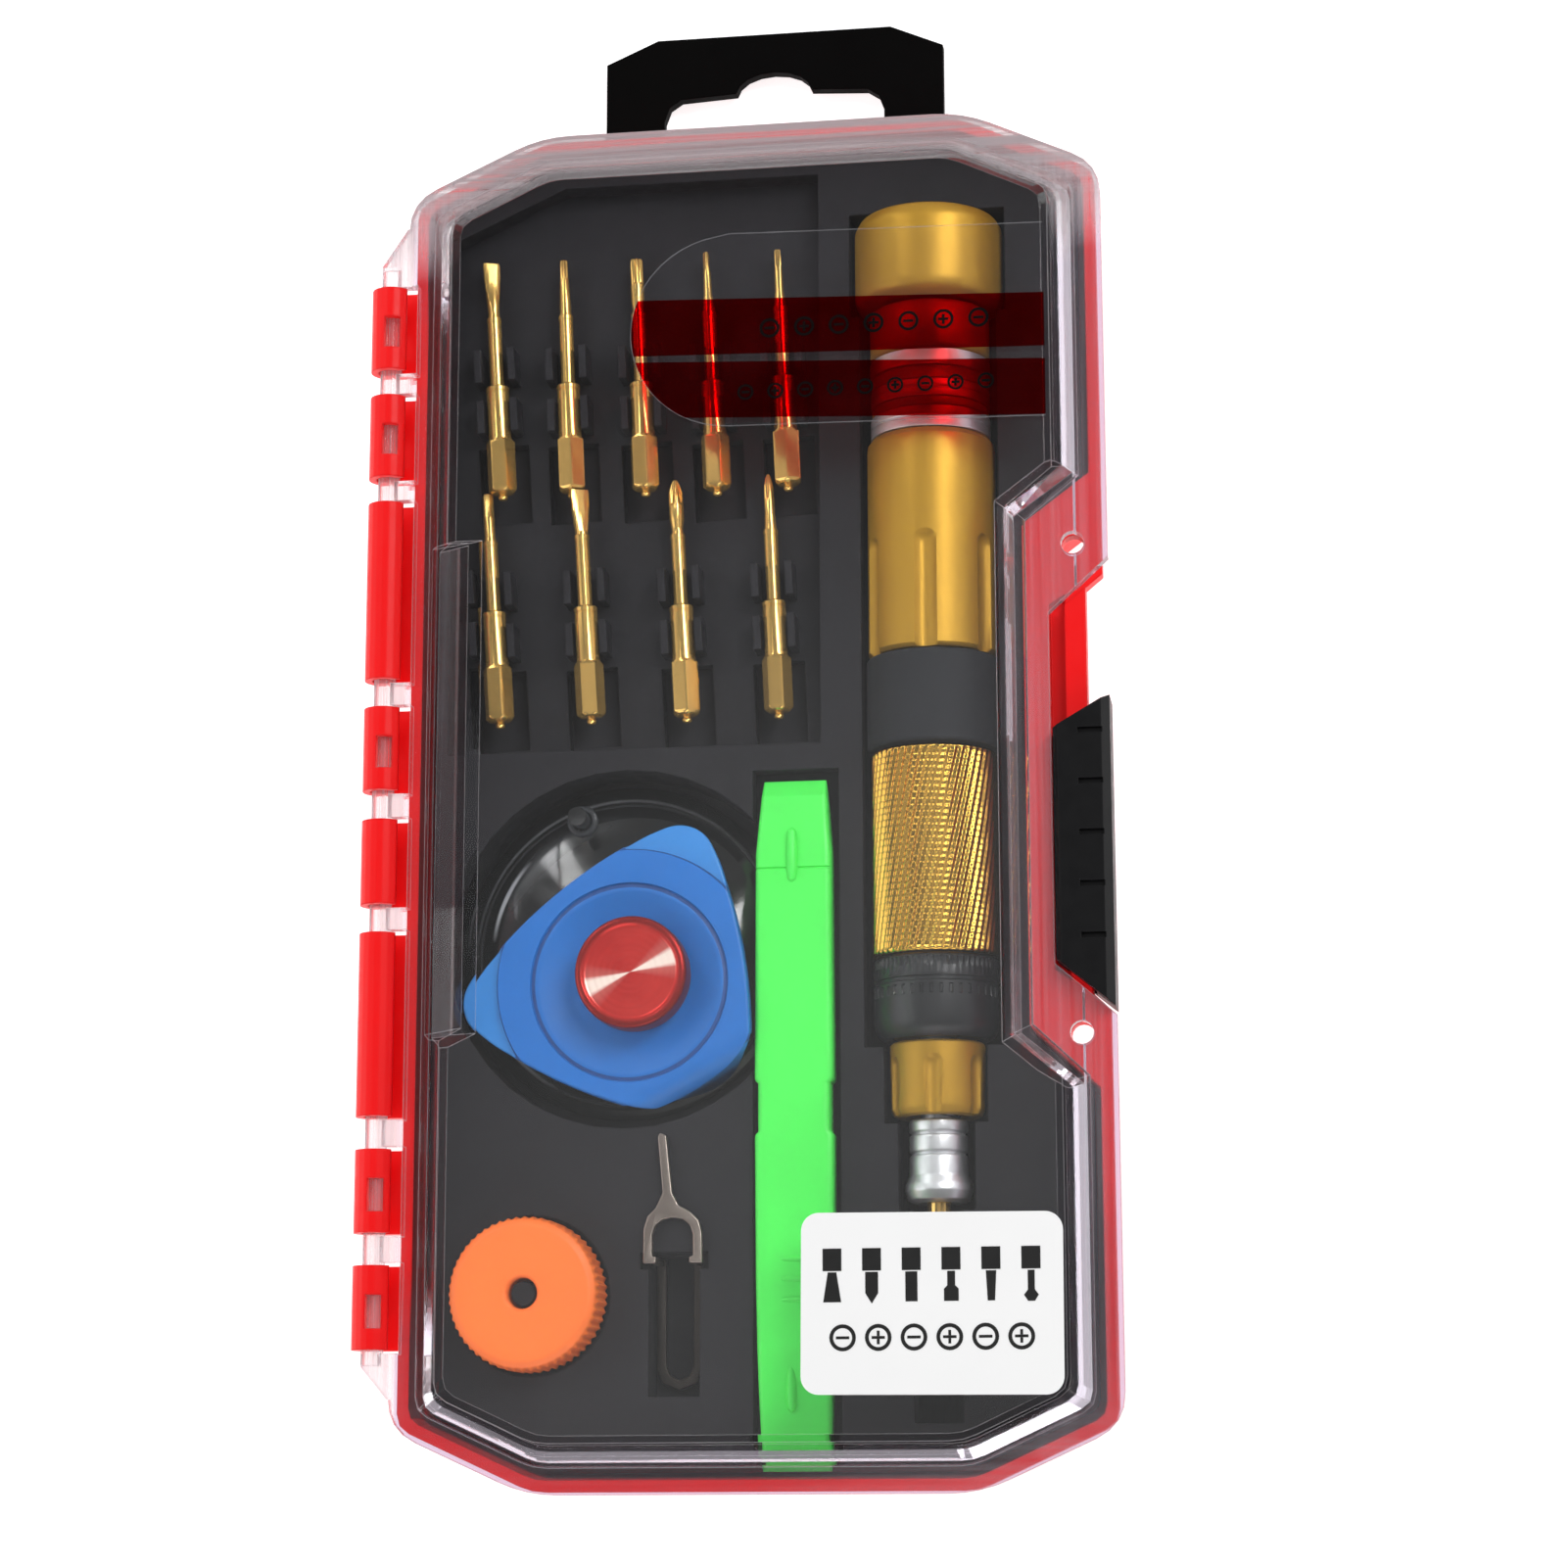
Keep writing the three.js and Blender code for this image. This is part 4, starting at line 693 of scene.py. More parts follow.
def screw_icons(x0, dx, y, r, count, hole_r=0.72):
    """Rings that stand for screw heads, with a plain bar across each."""
    out = []
    for i in range(count):
        cx = x0 + i * dx
        n = 28
        for k in range(n):
            a, b = TAU * k / n, TAU * (k + 1) / n
            out.append([(cx + r * math.cos(a), y + r * math.sin(a)), (cx + r * math.cos(b), y + r * math.sin(b)),
                        (cx + r * hole_r * math.cos(b), y + r * hole_r * math.sin(b)), (cx + r * hole_r * math.cos(a), y + r * hole_r * math.sin(a))])
        kk = r * 0.5
        out.append([(cx - kk, y - 0.16), (cx + kk, y - 0.16), (cx + kk, y + 0.16), (cx - kk, y + 0.16)])
        if i % 2:
            out.append([(cx - 0.16, y + 0.17), (cx + 0.16, y + 0.17), (cx + 0.16, y + kk), (cx - 0.16, y + kk)])
            out.append([(cx - 0.16, y - kk), (cx + 0.16, y - kk), (cx + 0.16, y - 0.17), (cx - 0.16, y - 0.17)])
    return out


ink("label_tip_icons", tip_icons())
ink("label_screw_icons", screw_icons(LX - 10.4, 4.16, LY - 3.9, 1.55, 6))

# film: clear sheet with two red bands
film_outline = [(36.8, 43.6), (36.8, 68.2), (-2.0, 68.9)]
for k in range(1, 24):
    a = math.radians(90 + 180 * k / 24)
    film_outline.append((-2.0 + 12.4 * math.cos(a), 56.4 + 12.3 * math.sin(a)))
film_outline.append((-2.0, 44.1))
new_object("film_sheet", slab(film_outline, LID_TOP + 0.05, LID_TOP + 0.08), FILM_CLEAR, "lid", ("lid_film",))


def film_x(y):
    """Left edge of the film at height y."""
    c = 1 - ((y - 56.4) / 12.3) ** 2
    return -2.0 - 12.4 * math.sqrt(max(c, 0))


def band(y0l, y1l, y0r, y1r, x1=36.8, n=10):
    left = [(film_x(y0l + (y1l - y0l) * k / n) + 0.05, y0l + (y1l - y0l) * k / n) for k in range(n + 1)]
    return [(x1, y0r)] + [(x1, y1r)] + list(reversed(left))


new_object("film_band_upper", slab(band(53.6, 60.8, 52.4, 59.2), LID_TOP + 0.09, LID_TOP + 0.13), FILM_RED, "lid", ())
new_object("film_band_lower", slab(band(45.4, 52.8, 43.7, 50.8), LID_TOP + 0.09, LID_TOP + 0.13), FILM_RED, "lid", ())


def ribbon(points, w, z0, z1):
    """Thin line along a path in plan."""
    bms = []
    left, right = [], []
    n = len(points)
    for i, (x, y) in enumerate(points):
        a = points[max(i - 1, 0)]
        b = points[min(i + 1, n - 1)]
        dx, dy = b[0] - a[0], b[1] - a[1]
        l = math.hypot(dx, dy) or 1
        left.append((x - dy / l * w / 2, y + dx / l * w / 2))
        right.append((x + dy / l * w / 2, y - dx / l * w / 2))
    return slab(left + list(reversed(right)), z0, z1)


new_object("film_edge_line", ribbon(film_outline[1:] + [(36.8, 43.6)], 0.14, LID_TOP + 0.09, LID_TOP + 0.12), FILM_EDGE, "lid", ())
ink("film_icons_upper", screw_icons(3.0, 4.3, 56.4, 1.25, 7), INK_FILM, z=LID_TOP + 0.15)
ink("film_icons_lower", screw_icons(0.0, 3.7, 48.3, 1.0, 9), INK_FILM, z=LID_TOP + 0.15)

# ------------------------------------------------------------------ driver
DX, DZ = 21.6, 15.0
FL = [TAU * k / 6 for k in range(6)]


def flutes(dist, rf, y_end, direction=1):
    """Radius with six round-bottomed flutes, ending in a round at y_end (runs towards smaller y)."""
    def f(t, r, y):
        if r < dist - rf - 0.01:
            return r
        best = r
        rr = rf
        if y > y_end:
            d = y - y_end
            if d >= rf:
                return r
            rr = math.sqrt(rf * rf - d * d)
        for a in FL:
            phi = (t - a + math.pi) % TAU - math.pi
            s = dist * math.sin(phi)
            if abs(s) < rr and abs(phi) < 1:
                best = min(best, dist * math.cos(phi) - math.sqrt(rr * rr - s * s))
        return best
    return f


def fine(profile, step):
    """Adds points along the profile so that no piece is longer than step."""
    out = [profile[0]]
    for p, q in zip(profile, profile[1:]):
        l = math.dist(p, q)
        k = max(1, math.ceil(l / step))
        for i in range(1, k + 1):
            out.append((p[0] + (q[0] - p[0]) * i / k, p[1] + (q[1] - p[1]) * i / k))
    return out


cap = arc_profile([(2.6, 60.95), (7.6, 60.95), (9.0, 61.5), (9.3, 62.6), (9.3, 71.3), (8.5, 72.7), (7.4, 72.9), (5.4, 72.9), (5.4, 64.2), (2.6, 64.2)], 0.6, 5)
new_object("cap_body", turn_y(cap, DX, DZ, 128, close=True), GOLD, "cap", ("driver_cap",))
ins = arc_profile([(0, 70.6), (5.15, 70.6), (5.15, 72.6), (4.5, 72.88), (0.9, 72.88), (0, 72.6)], 0.25, 3)
new_object("cap_inlay", turn_y(ins, DX, DZ, 96), GOLD, "cap", ("cap_insert",))
new_object("cap_screw", turn_y(arc_profile([(0, 50.0), (2.3, 50.0), (2.3, 65.8), (4.4, 65.8), (4.4, 68.2), (3.6, 69.0), (0, 69.0)], 0.2, 3), DX, DZ, 64), SILVER, "case", ("cap_axle",))
new_object("cap_spacer", turn_y(arc_profile([(2.55, 64.5), (5.0, 64.5), (5.0, 65.5), (2.55, 65.5)], 0.15, 2), DX, DZ, 64, close=True), BRASS, "case", ("cap_washer",))

barrel = [(5.2, -30.6), (5.2, 16.35), (7.5, 16.35), (7.95, 16.8)]
barrel += [(7.95, y) for y in (20, 24, 27, 29.0, 29.4, 29.8, 30.1, 30.4, 30.6, 30.8, 30.95, 31.1, 31.15, 31.2)]
barrel += [(7.95, 36), (7.95, 42.6), (7.85, 43.3), (7.4, 43.95), (7.15, 44.0)]
neck = [(7.15, 44.0), (6.9, 44.05), (6.9, 54.2), (7.0, 54.3), (7.3, 54.5), (7.45, 54.8), (7.45, 60.0), (7.25, 60.5), (6.9, 60.6),
        (2.5, 60.6), (2.5, 49.6), (0, 49.6)]
inner = [(0, -29.0), (2.4, -29.0), (2.4, -30.6)]
body_bm = turn_y(barrel + neck[1:] + inner, DX, DZ, 216, shape=flutes(8.75, 1.6, 29.6), close=True)
new_object("barrel_body", body_bm, GOLD, "case", ("driver_barrel",), smooth=26)


def ring(name, y0, y1, r, mat, slot, grooves=()):
    prof = [(6.95, y0), (r, y0)]
    for g in grooves:
        prof += [(r, g - 0.14), (r - 0.18, g), (r, g + 0.14)]
    prof += [(r, y1), (6.95, y1)]
    return new_object(name, turn_y(arc_profile(prof, 0.14, 3), DX, DZ, 128, close=True), mat, "case", ())


ring("ring_silver_top", 52.05, 54.1, 7.5, SILVER, "silver_turned")
ring("ring_gold_top", 50.35, 51.95, 7.3, GOLD, "gold_anodised")
ring("ring_silver_middle", 48.1, 50.25, 7.4, SILVER, "silver_turned", (49.2,))
ring("ring_gold_low", 46.9, 48.0, 7.25, GOLD, "gold_anodised")
ring("ring_silver_low", 44.15, 46.8, 7.45, SILVER, "silver_turned", (45.5,))

new_object("sleeve_body", turn_y(arc_profile([(5.45, 4.6), (7.95, 4.6), (8.2, 4.9), (8.2, 15.8), (7.95, 16.05), (5.45, 16.05)], 0.25, 4), DX, DZ, 128, close=True),
           SLEEVE, "case", ("driver_sleeve",))


def knurl(count, tan_a, depth, pitch, depth_b, r0):
    """Steep helical V grooves, crossed by finer ones that run nearly round the grip."""
    def tri(x):
        return abs(2 * (x - math.floor(x)) - 1)

    def f(t, r, y):
        if r < r0 - 0.4:
            return r
        u = t * count / TAU
        v = y * count / (TAU * r0)
        fade = min(1.0, max(0.0, (y + 20.9) / 0.5), max(0.0, (4.15 - y) / 0.5))
        return r - (depth * tri(u - v * tan_a) + depth_b * tri(y / pitch + t * 2 / TAU)) * fade
    return f


grip = [(5.45, -21.0), (7.45, -21.0), (7.75, -20.75)] + [(7.85, -20.6 + 24.5 * k / 190) for k in range(191)] + [(7.75, 4.05), (7.45, 4.28), (5.45, 4.28)]
new_object("grip_body", turn_y(grip, DX, DZ, 500, shape=knurl(50, 0.25, 0.27, 0.78, 0.05, 7.9), close=True), GOLD_KNURL, "case", ("driver_grip",), smooth=180)


def collar_shape(t, r, y):
    if r > 7.2 and -22.7 < y < -21.5:
        return r - 0.22 * (0.5 - 0.5 * math.cos(t * 60)) * min(1, (y + 22.7) / 0.25, (-21.5 - y) / 0.25)
    if r > 7.2 and -26.0 < y < -24.9:
        return r - 0.16 * (1 if (t * 40 / TAU) % 1 < 0.3 else 0)
    return r


col = [(5.45, -30.6), (6.3, -31.0), (7.0, -30.5), (7.45, -29.6), (7.6, -28.6), (7.6, -26.1), (7.6, -25.9), (7.6, -25.0), (7.6, -24.85), (7.6, -24.5), (7.4, -24.35), (7.4, -24.0), (7.6, -23.85),
       (7.6, -22.75), (7.6, -22.5), (7.6, -22.1), (7.6, -21.7), (7.6, -21.5), (7.4, -21.3), (5.45, -21.3)]
new_object("collar_body", turn_y(col, DX, DZ, 480, shape=collar_shape, close=True), COLLAR, "case", ("driver_collar",))

nose = [(2.35, -37.0), (3.9, -37.0), (3.9, -40.15), (4.9, -40.2), (5.3, -40.0), (5.6, -39.4)]
nose += [(5.62 + 0.13 * k / 14, -39.4 + 5.4 * k / 14) for k in range(1, 15)]
nose += [(5.75, -33.7), (5.75, -33.4), (5.75, -33.1), (5.75, -32.7), (5.75, -31.6), (5.5, -31.32), (2.35, -31.3)]
new_object("nose_body", turn_y(nose, DX, DZ, 216, shape=flutes(6.55, 1.4, -34.2), close=True), GOLD, "case", ("driver_nose",), smooth=26)

sl = arc_profile([(3.05, -40.5), (3.4, -40.5), (3.52, -40.8), (3.5, -41.9), (3.15, -42.2), (3.5, -42.5), (3.5, -44.3), (3.15, -44.6), (3.5, -44.9), (3.55, -47.2), (4.0, -48.2), (4.1, -49.0),
                  (3.75, -50.05), (3.0, -50.4), (2.35, -50.4), (2.35, -46.4), (3.05, -46.4)], 0.15, 3)
new_object("chuck_body", turn_y(sl, DX, DZ, 96, close=True), SILVER, "chuck", ("chuck_sleeve",))

for node, mt, sl_ in (("bit_holder", SILVER, "silver_turned"), ("holder_magnet", MAGNET, "magnet_grey"), ("chuck_ball", STEEL, "silver_turned")):
    from_cad(node, mt, "case", bevel=0.05)

# the spring is finer here: a round wire along the same helix
turns, y0, y1, rs, rw = 4.5, -46.0, -37.4, 2.58, 0.21
rings = []
N = 220
for i in range(N + 1):
    u = i / N
    a = TAU * turns * u
    c = Vector((rs * math.cos(a), y0 + (y1 - y0) * u, rs * math.sin(a)))
    tng = Vector((-rs * math.sin(a) * TAU * turns, (y1 - y0), rs * math.cos(a) * TAU * turns)).normalized()
    rad = Vector((math.cos(a), 0, math.sin(a)))
    bn = tng.cross(rad).normalized()
    rings.append([(DX + (c + rw * (rad * math.cos(q) + bn * math.sin(q)))[0], (c + rw * (rad * math.cos(q) + bn * math.sin(q)))[1],
                   DZ + (c + rw * (rad * math.cos(q) + bn * math.sin(q)))[2]) for q in [TAU * k / 12 for k in range(12)]])
spring = new_object("chuck_coil", loft(rings), STEEL, "case", ("chuck_spring",))
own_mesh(spring)


# ------------------------------------------------------------------ bits
def bit_mesh(L, tip):
    """Double-stepped driver bit along +Y from its ball end to its tip."""
    n = 72

    def hexr(t, af):  # radius of a hexagon with this width across flats
        k = math.pi / 3
        q = (t % k) - k / 2
        return af / 2 / math.cos(q)
    rows = []   # (y, function of theta)

    def rnd(y, r):
        rows.append((y, lambda t, r=r: r))

    def mixed(y, a, b, w):
        rows.append((y, lambda t: a(t) * (1 - w) + b(t) * w))
    for y, r in ((0, 0.0), (0.03, 0.28), (0.12, 0.48), (0.28, 0.60), (0.46, 0.60), (0.62, 0.52), (0.72, 0.46), (0.84, 0.46), (0.88, 0.95), (0.91, 1.30)):
        rnd(y, r)
    rows.append((1.10, lambda t: min(1.56, hexr(t, 3.08))))
    rows.append((1.30, lambda t: min(1.74, hexr(t, 3.16))))
    for y in (1.42, 1.52, 4.5, 7.5, 7.6):
        rows.append((y, lambda t: min(1.83, hexr(t, 3.20))))
    rows.append((7.9, lambda t: min(1.55, hexr(t, 3.20))))
    for y, r in ((7.95, 1.46), (8.1, 1.44), (13.9, 1.44), (14.1, 1.44), (14.15, 1.36), (14.3, 1.36), (14.36, 1.48), (14.8, 1.48), (14.95, 1.34), (15.0, 0.98), (15.15, 0.90), (15.3, 0.90), (23.2, 0.88), (23.5, 0.88), (23.6, 0.94), (24.1, 0.94), (24.2, 0.78), (24.6, 0.74)):
        rnd(y, r)
    T = L

    def blade(y, w, th):
        # flattened section: width along X, thickness along Z, corners kept soft
        def f(t):
            sx, cz = abs(math.sin(t)), abs(math.cos(t))
            a = w / 2 / max(sx, 1e-6)
            b = th / 2 / max(cz, 1e-6)
            p = 8
            return (a ** -p + b ** -p) ** (-1 / p)
        rows.append((y, f))

    def lobes(y, r, count, depth, phase=0.0):
        rows.append((y, lambda t: r * (1 - depth * (0.5 - 0.5 * math.cos(count * t + phase)))))
    if tip == "flat_wide":
        rnd(T - 6.6, 0.74); rnd(T - 5.6, 0.78)
        blade(T - 3.9, 1.75, 0.95); blade(T - 2.4, 2.05, 0.62); blade(T - 0.4, 2.2, 0.46); blade(T - 0.02, 2.12, 0.38)
    elif tip == "slot":
        rnd(T - 6.0, 0.74); blade(T - 4.4, 1.7, 1.1); blade(T - 2.8, 2.2, 0.75); blade(T - 0.6, 2.4, 0.5); blade(T - 0.02, 2.36, 0.42)
    elif tip == "taper":
        rnd(T - 6.2, 0.74); rnd(T - 5.4, 0.70); rnd(T - 2.6, 0.60); lobes(T - 2.2, 0.56, 6, 0.2); lobes(T - 0.2, 0.54, 6, 0.22); lobes(T, 0.44, 6, 0.2)
    elif tip == "star":
        rnd(T - 6.4, 0.76); rnd(T - 5.6, 0.84); rnd(T - 3.4, 0.88); lobes(T - 3.1, 0.88, 6, 0.30); lobes(T - 0.25, 0.88, 6, 0.30); lobes(T, 0.74, 6, 0.26)
    elif tip == "thin":
        rnd(T - 6.5, 0.72); rnd(T - 5.8, 0.56); rnd(T - 2.6, 0.50); lobes(T - 2.3, 0.48, 3, 0.3); lobes(T - 0.2, 0.46, 3, 0.3); lobes(T, 0.36, 3, 0.2)
    elif tip == "square":
        rnd(T - 6.5, 0.72); rnd(T - 5.6, 0.58); rnd(T - 2.4, 0.52); blade(T - 2.1, 0.86, 0.86); blade(T - 0.2, 0.82, 0.82); blade(T, 0.66, 0.66)
    elif tip == "hexes":
        rnd(T - 6.4, 0.74); rnd(T - 5.8, 0.70); rnd(T - 3.2, 0.70)
        rows.append((T - 2.9, lambda t: hexr(t, 1.22))); rows.append((T - 0.2, lambda t: hexr(t, 1.22))); rows.append((T, lambda t: hexr(t, 1.0)))
    elif tip in ("cross", "cross_small"):
        r = 0.92 if tip == "cross" else 0.66
        rnd(T - 6.2, 0.74); rnd(T - 5.2, r); rnd(T - 3.4, r)
        lobes(T - 3.0, r, 4, 0.28); lobes(T - 1.6, r * 0.96, 4, 0.42); lobes(T - 0.7, r * 0.66, 4, 0.46); lobes(T - 0.2, r * 0.42, 4, 0.4); lobes(T, r * 0.26, 4, 0.3)
    rings_ = []
    for y, f in rows:
        rings_.append([(f(TAU * j / n) * math.sin(TAU * j / n) if y else 1e-4 * math.sin(TAU * j / n), y,
                        f(TAU * j / n) * math.cos(TAU * j / n) if y else 1e-4 * math.cos(TAU * j / n)) for j in range(n)])
    return loft(rings_)


BIT_Z = 21.0 - 4.55
BITS = [("bit_star_1", -34.45, 70.2, -32.45, 38.65, "flat_wide", 0, 0.5), ("bit_slot_1", -25.0, 70.0, -23.55, 38.5, "taper", 0, 0.2),
        ("bit_star_2", -15.6, 69.6, -14.15, 38.3, "star", 0, 0.3), ("bit_three_wing", -6.6, 70.1, -5.05, 38.0, "thin", 0, 0.4),
        ("bit_square", 2.55, 69.9, 3.9, 38.2, "square", 0, 0.1), ("bit_hex", -34.5, 39.5, -32.4, 9.2, "hexes", 0, 0.45),
        ("bit_slot_2", -22.45, 39.3, -20.85, 9.3, "slot", 0.044, 0.62), ("bit_cross_1", -10.5, 40.3, -8.85, 9.1, "cross", 0, 0.25),
        ("bit_cross_2", 1.3, 40.5, 2.65, 9.2, "cross_small", 0, 0.5)]
for node, tx, ty, ex, ey, tip, tilt, roll in BITS:
    L = math.hypot(tx - ex, ty - ey)
    bm = bit_mesh(L, tip)
    a = math.atan2(-(tx - ex), ty - ey)
    M4 = Matrix.Translation((ex * MM, ey * MM, BIT_Z * MM)) @ Matrix.Rotation(tilt, 4, "X") @ Matrix.Rotation(a, 4, "Z") @ Matrix.Rotation(roll, 4, "Y")
    bmesh.ops.transform(bm, matrix=M4, verts=bm.verts)
    new_object(node + "_turned", bm, BIT, "case", (node,), smooth=28)
bm = bit_mesh(30.0, "cross")
bmesh.ops.transform(bm, matrix=Matrix.Translation((DX * MM, -39.8 * MM, DZ * MM)) @ Matrix.Rotation(math.pi, 4, "Z"), verts=bm.verts)
new_object("driver_bit_turned", bm, BIT, "case", ("driver_bit",), smooth=28)

# ------------------------------------------------------------------ suction cup, knob, pick
CX, CY, CZ = -17.0, -18.5, 10.3
KX, KY = -14.5, -22.8
lx, ly = (KX - CX) / 6.4, (KY - CY) / 6.4


def cup_lean(z):
    k = min(max(0.0, z - CZ - 0.9), 6.5)
    return lx * k, ly * k


cup = arc_profile([(0, 3.0), (8, 2.6), (13, 1.6), (18.5, 0.05), (19.8, 0.0), (20.8, 0.05), (20.85, 0.45), (20.5, 0.75), (19.5, 0.95), (19.25, 1.05), (19.1, 1.42), (18.85, 1.50), (18.65, 1.40), (17.5, 1.9), (15.2, 2.6), (13, 3.3), (10.5, 4.05), (8.4, 4.8), (6.5, 5.35), (6.2, 5.8), (6.2, 7.2),
                   (6.0, 7.4), (2.45, 7.4), (2.45, 4.5), (0, 4.5)], 0.3, 4)
cup = [(r, CZ + z) for r, z in cup]
cup_bm = turn_z(cup, CX, CY, 144, lean=cup_lean)
cup_ob = new_object("cup_body", cup_bm, CUP, "case", ("suction_cup",), smooth=50)
ex, ey = -22.7, -2.1
subtract(cup_ob, turn_z([(1.15, CZ - 1), (1.15, CZ + 6)], ex, ey, 32))
lug = arc_profile([(1.15, 0.2), (1.95, 0.2), (2.0, 1.9), (1.75, 2.15), (1.3, 2.15), (1.15, 1.9)], 0.15, 3)
new_object("cup_eyelet", turn_z([(r, CZ + 0.55 + z) for r, z in lug], ex, ey, 40, close=True), LUG, "case", ())
new_object("stud_body", turn_z(arc_profile([(0, 14.9), (2.05, 14.9), (2.05, 21.6), (1.8, 22.0), (0, 22.0)], 0.2, 3), KX, KY, 48), SILVER, "case", ("cup_stud",))
kn = arc_profile([(2.3, 19.4), (6.2, 19.4), (6.75, 19.7), (6.85, 20.3), (6.85, 23.1), (6.7, 23.55), (6.35, 23.7), (6.0, 23.7), (5.75, 23.5), (5.6, 23.36)], 0.18, 3)
kn += [(5.6 * (1 - k / 24), 23.36 + 0.12 * (1 - k / 24) ** 2 * 0 - 0.02 * math.sin(k * 1.9)) for k in range(1, 24)] + [(0, 23.36), (0, 22.3), (2.3, 22.3)]
new_object("knob_body", turn_z(kn, KX, KY, 128, close=True), KNOB, "case", ("cup_knob",), smooth=40)

PX, PY, PZ, PT = -15.3, -23.5, 17.9, 2.3


def pick_outline(n=360):
    S, R, C, rc = 44.4, 58.7, 16.0, 4.5
    pts = []
    for k in range(3):
        a = math.radians(68.4 + 120 * k)
        cx, cy = C * math.cos(a), C * math.sin(a)
        for j in range(25):
            t = a + (-1 + j / 12) * math.radians(50)
            pts.append((cx + rc * math.cos(t), cy + rc * math.sin(t)))
        mm = a + math.pi / 3
        for j in range(1, 30):
            t = mm + (-1 + j / 15) * math.radians(11.5)
            pts.append((-S * math.cos(mm) + R * math.cos(t), -S * math.sin(mm) + R * math.sin(t)))
    pol = sorted((math.atan2(y, x) % TAU, math.hypot(x, y)) for x, y in pts)
    out = []
    for i in range(n):
        t = TAU * i / n
        lo = max((p for p in pol if p[0] <= t), default=(pol[-1][0] - TAU, pol[-1][1]))
        hi = min((p for p in pol if p[0] > t), default=(pol[0][0] + TAU, pol[0][1]))
        w = (t - lo[0]) / max(hi[0] - lo[0], 1e-9)
        out.append(lo[1] + (hi[1] - lo[1]) * w)
    # a light smoothing hides the joins between arcs
    for _ in range(4):
        out = [(out[i - 1] + 2 * out[i] + out[(i + 1) % n]) / 4 for i in range(n)]
    return out


PR = pick_outline()


def pick_top(r):
    """Height of the upper face at a distance from the middle."""
    if r < 7.4:
        return 1.15
    if r < 11.6:
        u = (r - 7.4) / 4.2
        return 1.15 + 0.95 * u
    if r < 11.75:
        return 2.1 - 0.12 * (r - 11.6) / 0.15
    if r < 12.05:
        return 1.98
    if r < 12.2:
        return 1.98 + 0.32 * (r - 12.05) / 0.15
    if r < 16.2:
        return 2.3
    if r < 16.45:
        return 2.3 - 0.75 * (r - 16.2) / 0.25
    return 1.55 - 0.12 * (r - 16.45)


def pick_mesh():
    n = len(PR)
    radii = [2.7, 4, 5.5, 7.0, 7.4, 8.2, 9.2, 10.2, 11.0, 11.6, 11.75, 11.9, 12.05, 12.2, 12.8, 13.4, 13.9, 14.5, 15.2, 15.9, 16.2, 16.45, 17.2, 18.2, 19.2, 20.2, 21.0]
    cx, cy = KX - PX, KY - PY
    rings_ = []
    rnd = 0.35

    def ring_at(f_r, f_z):
        out = []
        for i in range(n):
            t = TAU * i / n
            r = f_r(i)
            out.append((PX + r * math.cos(t), PY + r * math.sin(t), PZ + f_z(i, r)))
        return out
    hole = [(PX + cx + 2.7 * math.cos(TAU * i / n), PY + cy + 2.7 * math.sin(TAU * i / n)) for i in range(n)]
    rings_.append([(x, y, PZ + 0.0) for x, y in hole])
    rings_.append([(x, y, PZ + 1.15) for x, y in hole])
    for r in radii[1:]:
        rings_.append(ring_at(lambda i, r=r: min(r, PR[i] - rnd - 0.0006 * (26 - r)), lambda i, rr: pick_top(rr)))
    for a in (0.25, 0.5, 0.75, 1.0):
        q = a * math.pi / 2
        rings_.append(ring_at(lambda i, q=q: PR[i] - rnd + rnd * math.sin(q), lambda i, rr, q=q: pick_top(PR[i] - rnd) - rnd * (1 - math.cos(q))))
    rings_.append(ring_at(lambda i: PR[i], lambda i, rr: 0.3))
    rings_.append(ring_at(lambda i: PR[i] - 0.1, lambda i, rr: 0.08))
    rings_.append(ring_at(lambda i: PR[i] - 0.3, lambda i, rr: 0.0))
    rings_.append(ring_at(lambda i: 8.0, lambda i, rr: 0.0))
    return loft(rings_, close=True)


pk = new_object("pick_body", pick_mesh(), BLUE, "case", ("opening_pick",), smooth=60, mats=[BLUE, BLUE_TIP, BLUE_LINE])
for p in pk.data.polygons:
    c = p.center
    r = math.hypot(c.x / MM - PX, c.y / MM - PY)
    if p.normal.z > 0.2:
        if r > 16.5:
            p.material_index = 1
        elif 16.15 < r <= 16.5 or 11.6 < r < 12.1:
            p.material_index = 2

# the corner over the pocket's edge bends down into the pocket
BX, BY, BD, BR, BA = math.cos(math.radians(-61)), math.sin(math.radians(-61)), 12.6, 2.6, math.radians(68)
for v in pk.data.vertices:
    x, y, z = v.co.x / MM - PX, v.co.y / MM - PY, v.co.z / MM - PZ
    u = x * BX + y * BY - BD
    if u <= 0:
        continue
    h = PT - z
    phi = min(u / BR, BA)
    rest = max(0.0, u - BA * BR)
    d = (BR - h) * math.sin(phi) + rest * math.cos(BA)
    z2 = PT - BR + (BR - h) * math.cos(phi) - rest * math.sin(BA)
    v.co.x += BX * (d - u) * MM
    v.co.y += BY * (d - u) * MM
    v.co.z = (PZ + z2) * MM

# ------------------------------------------------------------------ spudger
SX = 4.6


